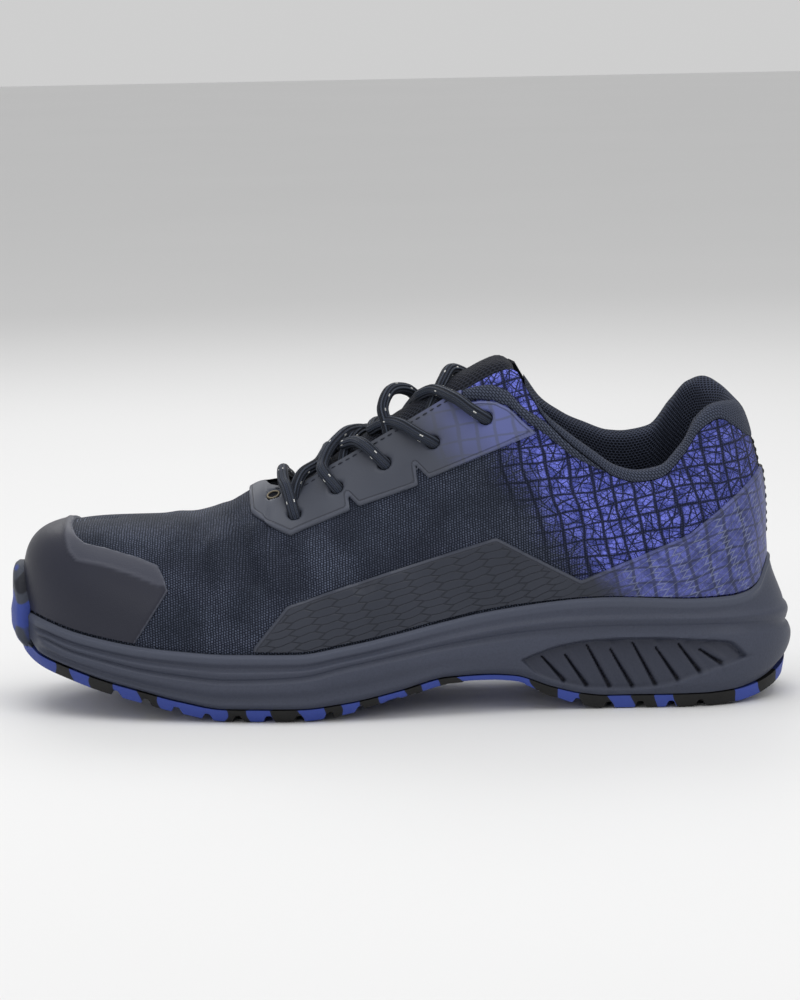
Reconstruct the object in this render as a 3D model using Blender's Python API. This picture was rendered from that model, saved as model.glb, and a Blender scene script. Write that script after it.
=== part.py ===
"""Low safety sneaker for the left foot, standing empty on its sole.

The frame: the toe points to -X, the outer (lateral) side faces -Y, the inner
(medial) side faces +Y, +Z is up and the floor is Z = 0. The origin is the middle
of the footprint's box on the floor.

Everything follows from one plan outline, one table of sole heights and one table
of the upper's top line. A station is a share of the shoe's length, 0 at the toe
tip and 1 at the back of the heel.
"""

import math
from functools import lru_cache

import bmesh
import bpy
from mathutils import Vector
from mathutils.bvhtree import BVHTree

# Driving dimensions of the whole shoe, in metres.
SHOE_LENGTH = 0.300
BALL_WIDTH = 0.108
TOE_SPRING = 0.020
ARCH_RISE = 0.0125
HEEL_BEVEL = 0.012
HEEL_STACK = 0.042
TOE_BOX_HEIGHT = 0.0698
THROAT_TOP_HEIGHT = 0.1275
COLLAR_HEIGHT = 0.0855
COLLAR_MEDIAL_RISE = 0.0070
HEEL_TAB_HEIGHT = 0.1075
THROAT_GAP = 0.032

# Walls, clearances and small sizes.
CLEARANCE = 0.0003
UPPER_WALL = 0.0020
OVERLAY_THICKNESS = 0.0010
LIP_INSET = 0.0036
LIP_THICKNESS = 0.0016
LIP_BAND = 0.0030
OUTSOLE_BAND = 0.0046
ARCH_THIN = 0.45
LUG_PITCH = 0.0117
LUG_NOTCH_WIDTH = 0.0032
LUG_NOTCH_DEPTH = 0.0027
INSOLE_THICKNESS = 0.0045
BUMPER_THICKNESS = 0.0030
BUMPER_HALF_WIDTH = 0.0205
BUMPER_TOP = 0.0540
TONGUE_THICKNESS = 0.0050
COLLAR_PAD_THICKNESS = 0.0065
COLLAR_ROLL = 0.0048
COLLAR_PAD_DEPTH = 0.036
WINDOW_DEPTH = 0.0032
WINDOW_DRAFT = 0.0010
SLIT_DEPTH = 0.0014
SLIT_WIDTH = 0.0013
LACE_DIAMETER = 0.0044

# Rounding of the plan at both ends, as shares of the length, and its fullness.
TOE_ROUND, TOE_POWER = 0.25, 2.25
HEEL_ROUND, HEEL_POWER = 0.17, 2.2
# Shares of the outline's own length where the toe ends and the heel starts.
TOE_TURN, HEEL_TURN = 0.29, 0.79
# Longest facet along the outline, for the ends and for the sides.
END_FACET, SIDE_FACET = 0.0131, 0.0209

LATERAL, MEDIAL = -1, 1


def table(names, *rows):
    """Rows of numbers with named columns."""
    return [dict(zip(names.split(), row)) for row in rows]


# Plan of the sole's widest outline: shares of the ball width from the shoe's axis.
PLAN = table(
    "station centre lateral medial",
    (0.00, 0.060, 0.450, 0.400),
    (0.10, 0.050, 0.455, 0.415),
    (0.20, 0.030, 0.465, 0.450),
    (0.28, 0.010, 0.485, 0.490),
    (0.36, 0.000, 0.500, 0.485),
    (0.46, -0.010, 0.465, 0.420),
    (0.56, -0.016, 0.400, 0.345),
    (0.66, -0.012, 0.362, 0.325),
    (0.76, -0.005, 0.358, 0.342),
    (0.86, 0.000, 0.368, 0.362),
    (1.00, 0.000, 0.372, 0.368),
)

# Side profile of the sole. Tread: shares of toe spring, arch rise and heel bevel.
# Bed, crease and lip: shares of the heel stack, for the floor inside the sole, the
# long crease in its side and its top edge. Draw: the lip's own inset, as a share.
SOLE = table(
    "station spring arch bevel bed crease lip draw",
    (0.000, 1.32, 0.00, 0.00, 0.655, 0.730, 0.875, 1.00),
    (0.020, 1.04, 0.00, 0.00, 0.650, 0.715, 0.862, 1.00),
    (0.040, 0.87, 0.00, 0.00, 0.640, 0.690, 0.828, 1.00),
    (0.080, 0.68, 0.00, 0.00, 0.612, 0.595, 0.755, 1.00),
    (0.120, 0.50, 0.00, 0.00, 0.572, 0.532, 0.702, 1.00),
    (0.170, 0.32, 0.00, 0.00, 0.520, 0.458, 0.650, 1.00),
    (0.220, 0.14, 0.00, 0.00, 0.465, 0.408, 0.618, 1.00),
    (0.280, 0.00, 0.00, 0.00, 0.405, 0.371, 0.596, 1.00),
    (0.370, 0.00, 0.00, 0.00, 0.395, 0.395, 0.596, 1.00),
    (0.430, 0.00, 0.16, 0.00, 0.430, 0.478, 0.655, 1.00),
    (0.500, 0.00, 0.54, 0.00, 0.530, 0.565, 0.747, 1.00),
    (0.560, 0.00, 0.90, 0.00, 0.610, 0.630, 0.836, 1.00),
    (0.600, 0.00, 0.92, 0.00, 0.660, 0.665, 0.890, 1.00),
    (0.640, 0.00, 0.84, 0.00, 0.700, 0.698, 0.930, 1.00),
    (0.690, 0.00, 0.36, 0.00, 0.745, 0.722, 0.973, 1.00),
    (0.730, 0.00, 0.08, 0.00, 0.765, 0.735, 0.995, 1.00),
    (0.757, 0.00, 0.00, 0.00, 0.772, 0.740, 1.000, 1.00),
    (0.880, 0.00, 0.00, 0.00, 0.772, 0.735, 0.972, 1.00),
    (0.920, 0.00, 0.00, 0.05, 0.768, 0.722, 0.976, 1.02),
    (0.945, 0.00, 0.00, 0.16, 0.760, 0.706, 1.000, 1.12),
    (0.965, 0.00, 0.00, 0.32, 0.748, 0.690, 1.050, 1.50),
    (0.985, 0.00, 0.00, 0.58, 0.740, 0.664, 1.170, 2.05),
    (1.000, 0.00, 0.00, 0.95, 0.740, 0.636, 1.260, 2.33),
)

# The sculpted side of the midsole. Zone 0 runs from its foot to the crease, zone 1
# from the crease to the shoulder and zone 2 is the lip. Share: height within the
# zone. Fore and heel: inset from the plan in metres; in the lip, from its own inset.
SIDE_WALL = table(
    "zone share fore heel",
    (0, 0.00, 0.0016, 0.0030),
    (0, 0.16, 0.0004, 0.0009),
    (0, 0.38, 0.0011, 0.0001),
    (0, 0.62, 0.0000, 0.0000),
    (0, 0.86, 0.0005, 0.0008),
    (1, 0.00, 0.0019, 0.0022),
    (1, 0.16, 0.0014, 0.0016),
    (1, 0.44, 0.0014, 0.0010),
    (1, 0.66, 0.0031, 0.0026),
    (2, 0.00, -0.0010, -0.0006),
    (2, 0.72, -0.0010, -0.0006),
    (2, 1.00, 0.0004, 0.0004),
)
SHOULDER = 0.98
FORE_END, HEEL_START = 0.44, 0.64
# Stations of the first and the last notch of the tread.
NOTCH_MARGINS = (0.137, 0.123)
ARCH_NOTCHED = 0.40

# The recess in the outer side under the heel: shares of the heel stack.
WINDOW = table(
    "station top low",
    (0.649, 0.470, 0.470),
    (0.670, 0.530, 0.325),
    (0.701, 0.597, 0.236),
    (0.740, 0.634, 0.176),
    (0.789, 0.643, 0.165),
    (0.830, 0.640, 0.195),
    (0.870, 0.620, 0.283),
    (0.912, 0.588, 0.372),
    (0.938, 0.425, 0.425),
)
# Slits in its floor: stations of the first and last one's head, lean as a share of
# the length, and the distances of their heads from the recess's edge in turn.
SLITS = (0.094, 0.785)
SLIT_COUNT = 8
SLIT_LEAN = 0.027
SLIT_MARGIN = (0.0024, 0.0042)

# Top line of the upper. Foot: station of the section's foot on the sole. Top: station
# of its upper end. Gap: share of the throat gap. Width: share of the ball width, for
# the collar. Height terms: shares of toe box, throat top, collar and heel tab
# heights. Rise: share of the medial side's extra height. Roll: share of the extra
# height of the padded roll.
TOP_LINE = table(
    "foot top gap width toe throat collar tab rise roll",
    (0.000, 0.135, 0.00, 0.000, 1.000, 0.000, 0.000, 0.000, 0.0, 0.0),
    (0.050, 0.148, 0.00, 0.000, 1.010, 0.000, 0.000, 0.000, 0.0, 0.0),
    (0.110, 0.172, 0.00, 0.000, 1.016, 0.000, 0.000, 0.000, 0.0, 0.0),
    (0.180, 0.212, 0.00, 0.000, 1.022, 0.000, 0.000, 0.000, 0.0, 0.0),
    (0.240, 0.256, 0.00, 0.000, 1.052, 0.000, 0.000, 0.000, 0.0, 0.0),
    (0.290, 0.296, 0.00, 0.000, 1.122, 0.000, 0.000, 0.000, 0.0, 0.0),
    (0.325, 0.330, 0.00, 0.000, 1.190, 0.000, 0.000, 0.000, 0.0, 0.0),
    (0.340, 0.342, 0.25, 0.000, 1.182, 0.000, 0.000, 0.000, 0.0, 0.0),
    (0.362, 0.362, 0.37, 0.000, 0.000, 0.646, 0.000, 0.000, 0.0, 0.0),
    (0.420, 0.420, 0.45, 0.000, 0.000, 0.718, 0.000, 0.000, 0.0, 0.0),
    (0.515, 0.515, 0.50, 0.000, 0.000, 0.846, 0.000, 0.000, 0.0, 0.0),
    (0.580, 0.582, 0.51, 0.000, 0.000, 0.936, 0.000, 0.000, 0.0, 0.0),
    (0.636, 0.647, 0.54, 0.000, 0.000, 1.000, 0.000, 0.000, 0.0, 0.0),
    (0.652, 0.664, 0.00, 0.205, 0.000, 0.000, 1.400, 0.000, 0.0, 0.3),
    (0.676, 0.686, 0.00, 0.242, 0.000, 0.000, 1.270, 0.000, 0.05, 0.6),
    (0.706, 0.714, 0.00, 0.276, 0.000, 0.000, 1.170, 0.000, 0.15, 0.9),
    (0.738, 0.744, 0.00, 0.300, 0.000, 0.000, 1.088, 0.000, 0.45, 1.0),
    (0.770, 0.773, 0.00, 0.314, 0.000, 0.000, 1.021, 0.000, 0.80, 1.0),
    (0.800, 0.798, 0.00, 0.318, 0.000, 0.000, 1.000, 0.000, 1.0, 1.0),
    (0.832, 0.827, 0.00, 0.312, 0.000, 0.000, 1.014, 0.000, 1.10, 1.0),
    (0.868, 0.855, 0.00, 0.292, 0.000, 0.000, 1.100, 0.000, 1.45, 1.0),
    (0.905, 0.881, 0.00, 0.262, 0.000, 0.000, 0.000, 0.970, 1.05, 1.1),
    (0.940, 0.905, 0.00, 0.218, 0.000, 0.000, 0.000, 1.000, 0.80, 1.3),
    (0.965, 0.924, 0.00, 0.170, 0.000, 0.000, 0.000, 0.968, 0.5, 2.1),
    (0.986, 0.941, 0.00, 0.105, 0.000, 0.000, 0.000, 0.928, 0.2, 2.9),
    (1.000, 0.952, 0.00, 0.000, 0.000, 0.000, 0.000, 0.905, 0.0, 3.3),
)
THROAT_FRONT = 0.325
QUARTER_CORNER = 0.636
COLLAR_START = 0.652

# Shape of the upper's sections. Lift and reach: how far the lower and the upper
# tangent carry, as shares of the distance between the ends. Flare: degrees outwards
# at the sole. Lean: degrees of the wall at its top, 0 level and 90 upright.
SECTION = table(
    "foot lift reach flare lean",
    (0.000, 0.58, 0.66, 1, 0),
    (0.060, 0.55, 0.62, 2, 0),
    (0.130, 0.48, 0.55, 3, 0),
    (0.200, 0.42, 0.48, 3, 0),
    (0.260, 0.38, 0.43, 2, 2),
    (0.325, 0.36, 0.40, 1, 12),
    (0.362, 0.35, 0.37, 0, 27),
    (0.420, 0.34, 0.34, -1, 38),
    (0.515, 0.33, 0.30, -1, 48),
    (0.580, 0.33, 0.28, 1, 54),
    (0.636, 0.33, 0.28, 4, 62),
    (0.700, 0.33, 0.30, 8, 76),
    (0.800, 0.33, 0.33, 10, 81),
    (0.900, 0.33, 0.33, 9, 80),
    (0.960, 0.33, 0.33, 5, 76),
    (1.000, 0.33, 0.33, 1, 72),
)
SECTION_ROWS = 8


@lru_cache(maxsize=None)
def knots(table_id, name):
    rows = TABLES[table_id]
    key = next(iter(rows[0]))
    xs = [row[key] for row in rows]
    ys = [row[name] for row in rows]
    secants = [(b - a) / (d - c) for a, b, c, d in zip(ys, ys[1:], xs, xs[1:])]
    slopes = [secants[0]]
    for before, after in zip(secants, secants[1:]):
        same_way = before * after > 0
        slopes.append(2 * before * after / (before + after) if same_way else 0.0)
    slopes.append(secants[-1])
    return xs, ys, slopes


def along(rows, at, name):
    """The named column at a station: a smooth curve through the rows that never
    overshoots them."""
    xs, ys, slopes = knots(NAMES[id(rows)], name)
    at = min(max(at, xs[0]), xs[-1])
    i = 0
    while i < len(xs) - 2 and at > xs[i + 1]:
        i += 1
    width = xs[i + 1] - xs[i]
    t = (at - xs[i]) / width
    return (
        ys[i] * (1 + 2 * t) * (1 - t) ** 2
        + slopes[i] * width * t * (1 - t) ** 2
        + ys[i + 1] * t * t * (3 - 2 * t)
        + slopes[i + 1] * width * t * t * (t - 1)
    )


def blend(low, high, at):
    """0 below low, 1 above high and smooth between."""
    t = min(max((at - low) / (high - low), 0.0), 1.0)
    return t * t * (3 - 2 * t)


# The top line in metres: half width and height of each row.
for row in TOP_LINE:
    row["half"] = row["gap"] * THROAT_GAP + row["width"] * BALL_WIDTH
    row["height"] = (
        row["toe"] * TOE_BOX_HEIGHT
        + row["throat"] * THROAT_TOP_HEIGHT
        + row["collar"] * COLLAR_HEIGHT
        + row["tab"] * HEEL_TAB_HEIGHT
    )
TABLES = {"plan": PLAN, "sole": SOLE, "top": TOP_LINE, "section": SECTION, "window": WINDOW}
NAMES = {id(rows): name for name, rows in TABLES.items()}


# The plan outline

def fan(u):
    """Station and fullness at u, a share of the outline from toe tip to heel."""
    if u < TOE_TURN:
        angle = u / TOE_TURN * math.pi / 2
        full = math.sin(angle) ** (2 / TOE_POWER)
        return TOE_ROUND * (1 - max(math.cos(angle), 0) ** (2 / TOE_POWER)), full
    if u > HEEL_TURN:
        angle = (1 - u) / (1 - HEEL_TURN) * math.pi / 2
        full = max(math.sin(angle), 0) ** (2 / HEEL_POWER)
        back = HEEL_ROUND * (1 - max(math.cos(angle), 0) ** (2 / HEEL_POWER))
        return 1 - back, full
    share = (u - TOE_TURN) / (HEEL_TURN - TOE_TURN)
    return TOE_ROUND + share * (1 - TOE_ROUND - HEEL_ROUND), 1.0


def at_station(station):
    """The u whose station this is."""
    if station < TOE_ROUND:
        angle = math.acos((1 - station / TOE_ROUND) ** (TOE_POWER / 2))
        return angle / (math.pi / 2) * TOE_TURN
    if station > 1 - HEEL_ROUND:
        angle = math.acos((1 - (1 - station) / HEEL_ROUND) ** (HEEL_POWER / 2))
        return 1 - angle / (math.pi / 2) * (1 - HEEL_TURN)
    share = (station - TOE_ROUND) / (1 - TOE_ROUND - HEEL_ROUND)
    return TOE_TURN + share * (HEEL_TURN - TOE_TURN)


@lru_cache(maxsize=None)
def edge(u, side):
    station, full = fan(u)
    share = along(PLAN, station, "lateral" if side == LATERAL else "medial")
    y = BALL_WIDTH * (along(PLAN, station, "centre") + side * share * full)
    return Vector(((station - 0.5) * SHOE_LENGTH, y))


@lru_cache(maxsize=None)
def outward(u, side):
    if u <= 0:
        return Vector((-1, 0))
    if u >= 1:
        return Vector((1, 0))
    step = min(1e-3, u, 1 - u)
    along_edge = (edge(u + step, side) - edge(u - step, side)).normalized()
    return Vector((-side * along_edge.y, side * along_edge.x))


def rim(u, side, inset):
    """A point of the outline, moved in square to it."""
    return edge(u, side) - outward(u, side) * inset


def station_of(x):
    return x / SHOE_LENGTH + 0.5


def centre_y(station):
    return BALL_WIDTH * along(PLAN, station, "centre")


# Heights of the sole

def tread(x):
    at = station_of(x)
    return (
        along(SOLE, at, "spring") * TOE_SPRING
        + along(SOLE, at, "arch") * ARCH_RISE
        + along(SOLE, at, "bevel") * HEEL_BEVEL
    )


def tread_band(x):
    """Height of the tread's edge: less where the arch leaves the floor."""
    return OUTSOLE_BAND * (1 - ARCH_THIN * along(SOLE, station_of(x), "arch"))


def bed(x):
    return along(SOLE, station_of(x), "bed") * HEEL_STACK


def lip(u):
    return along(SOLE, fan(u)[0], "lip") * HEEL_STACK


def lip_inset(u):
    return along(SOLE, fan(u)[0], "draw") * LIP_INSET


@lru_cache(maxsize=None)
def outline_step(u, side):
    """Distance along the outline from the toe tip, for the first part of the toe."""
    steps = 12
    points = [edge(u * k / steps, side) for k in range(steps + 1)]
    return sum((b - a).length for a, b in zip(points, points[1:]))


def toe_recess(u, side):
    """How far the sole steps back at the tip, where the bumper lies on it."""
    if u > TOE_TURN:
        return 0.0
    reach = outline_step(u, side)
    seat = BUMPER_THICKNESS + CLEARANCE
    return seat * (1 - blend(1.1 * BUMPER_HALF_WIDTH, 1.9 * BUMPER_HALF_WIDTH, reach))


# The upper's sections

@lru_cache(maxsize=None)
def guides(u, side):
    """Foot of the section on the sole's bed and the four points that guide it from
    the lip to the top line."""
    station = fan(u)[0]
    out = outward(u, side).to_3d()
    foot_inset = LIP_INSET + LIP_THICKNESS + CLEARANCE
    low = rim(u, side, foot_inset)
    foot = Vector((low.x, low.y, bed(low.x) + CLEARANCE))
    start = rim(u, side, lip_inset(u) + LIP_THICKNESS + CLEARANCE).to_3d()
    start.z = lip(u) + CLEARANCE
    top_at = along(TOP_LINE, station, "top")
    rise = along(TOP_LINE, station, "rise") * COLLAR_MEDIAL_RISE
    top = Vector((
        (top_at - 0.5) * SHOE_LENGTH,
        centre_y(top_at) + side * along(TOP_LINE, station, "half"),
        along(TOP_LINE, station, "height") + (rise if side == MEDIAL else 0.0),
    ))
    flat = (top - start) * Vector((1, 1, 0))
    inward = -out.lerp(-flat.normalized(), min(flat.length / 0.020, 1.0))
    inward.normalize()
    flare = math.radians(along(SECTION, station, "flare"))
    lean = math.radians(along(SECTION, station, "lean"))
    span = (top - start).length
    up = Vector((0, 0, 1))
    lower = start + (up * math.cos(flare) + out * math.sin(flare)) * (
        span * along(SECTION, station, "lift")
    )
    upper = top - (inward * math.cos(lean) + up * math.sin(lean)) * (
        span * along(SECTION, station, "reach")
    )
    return foot, start, lower, upper, top


@lru_cache(maxsize=None)
def skin(u, side, v):
    """A point of the upper's outer surface: v runs from 0 at the lip to 1 at the
    top line, and from -1 at the foot to 0 inside the lip."""
    foot, start, lower, upper, top = guides(u, side)
    if v < 0:
        return start.lerp(foot, -v)
    w = 1 - v
    return (
        start * w**3 + lower * (3 * w * w * v) + upper * (3 * w * v * v) + top * v**3
    )


@lru_cache(maxsize=None)
def skin_normal(u, side, v):
    """The way out of the upper there."""
    if v <= -1:
        return outward(u, side).to_3d()
    step = 2e-3
    if u < step:
        level = skin(step, MEDIAL, v) - skin(step, LATERAL, v)
    elif u > 1 - step:
        level = skin(1 - step, MEDIAL, v) - skin(1 - step, LATERAL, v)
    else:
        level = skin(u + step, side, v) - skin(u - step, side, v)
    low, high = (-1, -0.5) if v < 0 else (max(v - step, -0.05), min(v + step, 1))
    rise = skin(u, side, high) - skin(u, side, low)
    normal = level.cross(rise).normalized()
    way = outward(u, side).to_3d() + Vector((0, 0, 1))
    return normal if normal.dot(way) > 0 else -normal


def on_ridge(u, v):
    return v >= 1 and fan(u)[0] <= THROAT_FRONT + 1e-6


def offset(u, side, v, distance):
    """A point at a distance from the upper's outer surface."""
    normal = skin_normal(u, side, v)
    if on_ridge(u, v):
        normal = (normal + skin_normal(u, -side, v)).normalized()
    return skin(u, side, v) + normal * distance


def columns():
    """The shares of the outline where every ringed piece has its points."""
    found = []
    feet = [at_station(row["foot"]) for row in TOP_LINE]
    for start, end in zip(feet, feet[1:]):
        length = (edge(end, LATERAL) - edge(start, LATERAL)).length
        length = max(length, (edge(end, MEDIAL) - edge(start, MEDIAL)).length)
        middle = fan((start + end) / 2)[0]
        side = TOE_ROUND * 0.6 < middle < 1 - HEEL_ROUND * 0.6
        pieces = max(1, math.ceil(length / (SIDE_FACET if side else END_FACET)))
        found += [start + (end - start) * k / pieces for k in range(pieces)]
    return found + [1.0]


COLUMNS = columns()
LOOP = [(u, LATERAL) for u in COLUMNS] + [(u, MEDIAL) for u in COLUMNS[-2:0:-1]]
ROWS = [k / SECTION_ROWS for k in range(SECTION_ROWS + 1)]


# Building meshes

class Shape:
    """Points that are shared by name, and triangles between them."""

    def __init__(self):
        self.points = []
        self.index = {}
        self.faces = []

    def point(self, name, place):
        if name not in self.index:
            self.index[name] = len(self.points)
            self.points.append(Vector(place))
        return self.index[name]

    def quad(self, a, b, c, d):
        for face in ((a, b, c), (a, c, d)):
            if len(set(face)) == 3:
                self.faces.append(face)

    def ring_walls(self, rings):
        """Walls between rings, which are lists of point numbers."""
        for lower, upper in zip(rings, rings[1:]):
            for k in range(len(lower)):
                self.quad(lower[k - 1], lower[k], upper[k], upper[k - 1])

    def floor(self, ring):
        """A floor across a ring that runs toe, lateral side, heel, medial side."""
        last = len(ring) // 2
        for k in range(last):
            a, b = ring[k], ring[k + 1]
            c, d = ring[-(k + 1)], ring[-k] if k else ring[0]
            self.quad(a, b, c, d)

    def build(self, name, look):
        form = bmesh.new()
        corners = [form.verts.new(place) for place in self.points]
        for face in self.faces:
            form.faces.new([corners[k] for k in face])
        bmesh.ops.recalc_face_normals(form, faces=form.faces)
        mesh = bpy.data.meshes.new(name)
        form.to_mesh(mesh)
        form.free()
        piece = bpy.data.objects.new(name, mesh)
        bpy.context.scene.collection.objects.link(piece)
        mesh.materials.append(material(*look))
        smooth(mesh)
        return piece


def smooth(mesh):
    mesh.shade_smooth()
    mesh.set_sharp_from_angle(angle=math.radians(38))


def material(name, colour, roughness, metallic=0.0):
    found = bpy.data.materials.get(name)
    if found:
        return found
    made = bpy.data.materials.new(name)
    made.use_nodes = True
    surface = made.node_tree.nodes["Principled BSDF"]
    surface.inputs["Base Color"].default_value = (*colour, 1.0)
    surface.inputs["Roughness"].default_value = roughness
    surface.inputs["Metallic"].default_value = metallic
    return made


def combine(piece, other, operation):
    """The piece joined with, cut by or limited to another, which is then removed."""
    change = piece.modifiers.new("combine", "BOOLEAN")
    change.operation = operation
    change.solver = "EXACT"
    change.object = other
    graph = bpy.context.evaluated_depsgraph_get()
    result = bpy.data.meshes.new_from_object(piece.evaluated_get(graph))
    piece.modifiers.clear()
    old = piece.data
    piece.data = result
    result.name = piece.name
    bpy.data.meshes.remove(old)
    bpy.data.objects.remove(other)
    form = bmesh.new()
    form.from_mesh(result)
    bmesh.ops.dissolve_degenerate(form, edges=form.edges, dist=2e-6)
    bmesh.ops.triangulate(form, faces=form.faces)
    form.to_mesh(result)
    form.free()
    smooth(result)


def prism(outline, near, far):
    """A block from an outline of (x, z) points, between two y values."""
    shape = Shape()
    count = len(outline)
    front = [shape.point(("n", k), (x, near, z)) for k, (x, z) in enumerate(outline)]
    back = [shape.point(("f", k), (x, far, z)) for k, (x, z) in enumerate(outline)]
    form = bmesh.new()
    corners = [form.verts.new(place) for place in shape.points]
    form.faces.new([corners[k] for k in front])
    form.faces.new([corners[k] for k in reversed(back)])
    for k in range(count):
        form.faces.new([corners[n] for n in (front[k - 1], front[k], back[k], back[k - 1])])
    bmesh.ops.recalc_face_normals(form, faces=form.faces)
    mesh = bpy.data.meshes.new("cutter")
    form.to_mesh(mesh)
    form.free()
    block = bpy.data.objects.new("cutter", mesh)
    block.hide_render = True
    bpy.context.scene.collection.objects.link(block)
    return block


RUBBER = ("outsole_rubber", (0.024, 0.030, 0.052), 0.62)
FOAM = ("midsole_foam", (0.037, 0.042, 0.066), 0.48)
TEXTILE = ("upper_textile", (0.030, 0.036, 0.075), 0.80)
FILM = ("overlay_film", (0.085, 0.095, 0.150), 0.42)
PANEL = ("panel_film", (0.030, 0.036, 0.055), 0.50)
KNIT = ("collar_knit", (0.022, 0.027, 0.045), 0.88)
TONGUE_CLOTH = ("tongue_textile", (0.014, 0.018, 0.032), 0.85)
FOOTBED = ("insole_textile", (0.020, 0.022, 0.030), 0.90)
CORD = ("lace_cord", (0.025, 0.032, 0.058), 0.75)


# The sole

def wall_inset(u, side, row):
    station = fan(u)[0]
    share = blend(FORE_END, HEEL_START, station)
    inset = row["fore"] + (row["heel"] - row["fore"]) * share
    if row["zone"] == 2:
        inset += lip_inset(u)
    return max(inset, toe_recess(u, side))


def wall_height(u, row, low):
    station = fan(u)[0]
    crease = along(SOLE, station, "crease") * HEEL_STACK
    shoulder = min(lip(u), SHOULDER * HEEL_STACK) - LIP_BAND
    zones = ((low, crease), (crease, shoulder), (lip(u) - LIP_BAND, lip(u)))
    start, end = zones[row["zone"]]
    return start + (end - start) * row["share"]


def build_midsole():
    shape = Shape()
    rings = []
    for number, row in enumerate(SIDE_WALL):
        ring = []
        for u, side in LOOP:
            spot = rim(u, side, wall_inset(u, side, row)).to_3d()
            low = tread(spot.x) + tread_band(spot.x) + 1.5 * CLEARANCE
            spot.z = wall_height(u, row, low)
            ring.append(shape.point((number, u, side), spot))
        rings.append(ring)
    for name in ("rim", "well"):
        ring = []
        for u, side in LOOP:
            inset = lip_inset(u) if name == "rim" else LIP_INSET
            spot = rim(u, side, inset + LIP_THICKNESS).to_3d()
            spot.z = lip(u) if name == "rim" else bed(spot.x)
            ring.append(shape.point((name, u, side), spot))
        rings.append(ring)
    shape.ring_walls(rings)
    shape.floor(rings[0])
    shape.floor(rings[-1])
    return shape.build("midsole", FOAM)


def window_spot(station, height, inset):
    spot = rim(at_station(station), LATERAL, inset).to_3d()
    spot.z = height
    return spot


def block(sections):
    """A closed block through sections of four points, which may end in a point."""
    shape = Shape()
    rings = []
    for section in sections:
        rings.append([shape.point(tuple(round(c, 6) for c in spot), spot) for spot in section])
    shape.ring_walls(rings)
    shape.quad(*rings[0])
    shape.quad(*rings[-1])
    return shape.build("cutter", FOAM)


def cut_window(midsole):
    """The recess in the outer side under the heel, with slanted slits in its floor."""
    sections = []
    for row in WINDOW:
        top, low = row["top"] * HEEL_STACK, row["low"] * HEEL_STACK
        draft = min(WINDOW_DRAFT, 0.45 * (top - low))
        sections.append([
            window_spot(row["station"], top + draft, -0.004),
            window_spot(row["station"], top - draft, WINDOW_DEPTH),
            window_spot(row["station"], low + draft, WINDOW_DEPTH),
            window_spot(row["station"], low - draft, -0.004),
        ])
    combine(midsole, block(sections), "DIFFERENCE")
    start, span = WINDOW[0]["station"], WINDOW[-1]["station"] - WINDOW[0]["station"]
    first, last = (start + share * span for share in SLITS)
    half = SLIT_WIDTH / 2 / SHOE_LENGTH
    for k in range(SLIT_COUNT):
        station = first + (last - first) * k / (SLIT_COUNT - 1)
        head = along(WINDOW, station, "top") * HEEL_STACK - SLIT_MARGIN[k % 2]
        foot = along(WINDOW, station + SLIT_LEAN, "low") * HEEL_STACK + SLIT_MARGIN[0] * 0.7
        ends = []
        for at, height in ((station, head), (station + SLIT_LEAN, foot)):
            ends.append([
                window_spot(at - half, height, WINDOW_DEPTH - 0.0012),
                window_spot(at + half, height, WINDOW_DEPTH - 0.0012),
                window_spot(at + half, height, WINDOW_DEPTH + SLIT_DEPTH),
                window_spot(at - half, height, WINDOW_DEPTH + SLIT_DEPTH),
            ])
        combine(midsole, block(ends), "DIFFERENCE")


def tread_columns():
    """Where the outsole has its points: the flanks of every notch, and the midsole's
    own columns where there is no notch. The arch has none."""
    first, last = NOTCH_MARGINS[0], 1 - NOTCH_MARGINS[1]
    count = round((last - first) * SHOE_LENGTH / LUG_PITCH)
    pitch = (last - first) / count
    wide = LUG_NOTCH_WIDTH / 2 / SHOE_LENGTH
    narrow = 0.35 * wide
    notches = [first + pitch * k for k in range(count + 1)]
    notches = [at for at in notches if along(SOLE, at, "arch") < ARCH_NOTCHED]
    found = []
    for u in COLUMNS:
        if min(abs(fan(u)[0] - at) for at in notches) > 0.55 * pitch:
            found.append((u, 0.0))
    for at in notches:
        for shift, depth in ((-wide, 0.0), (-narrow, 1.0), (narrow, 1.0), (wide, 0.0)):
            found.append((at_station(at + shift), depth))
    return sorted(found)


def seam_spot(u, side):
    """The outsole's upper edge, on the straight line between the midsole's columns."""
    after = 1
    while COLUMNS[after] < u:
        after += 1
    ends = []
    for at in COLUMNS[after - 1:after + 1]:
        spot = rim(at, side, max(wall_inset(at, side, SIDE_WALL[0]) - 0.0005, 0)).to_3d()
        spot.z = tread(spot.x) + tread_band(spot.x)
        ends.append(spot)
    share = (u - COLUMNS[after - 1]) / (COLUMNS[after] - COLUMNS[after - 1])
    return ends[0].lerp(ends[1], share)


# Lengthwise channels of the tread: shares of the way across, and depth.
CHANNELS = table(
    "across depth",
    (0.235, 0),
    (0.255, 1),
    (0.275, 0),
    (0.725, 0),
    (0.745, 1),
    (0.765, 0),
)
TREAD_EDGE = 0.0034


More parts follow.
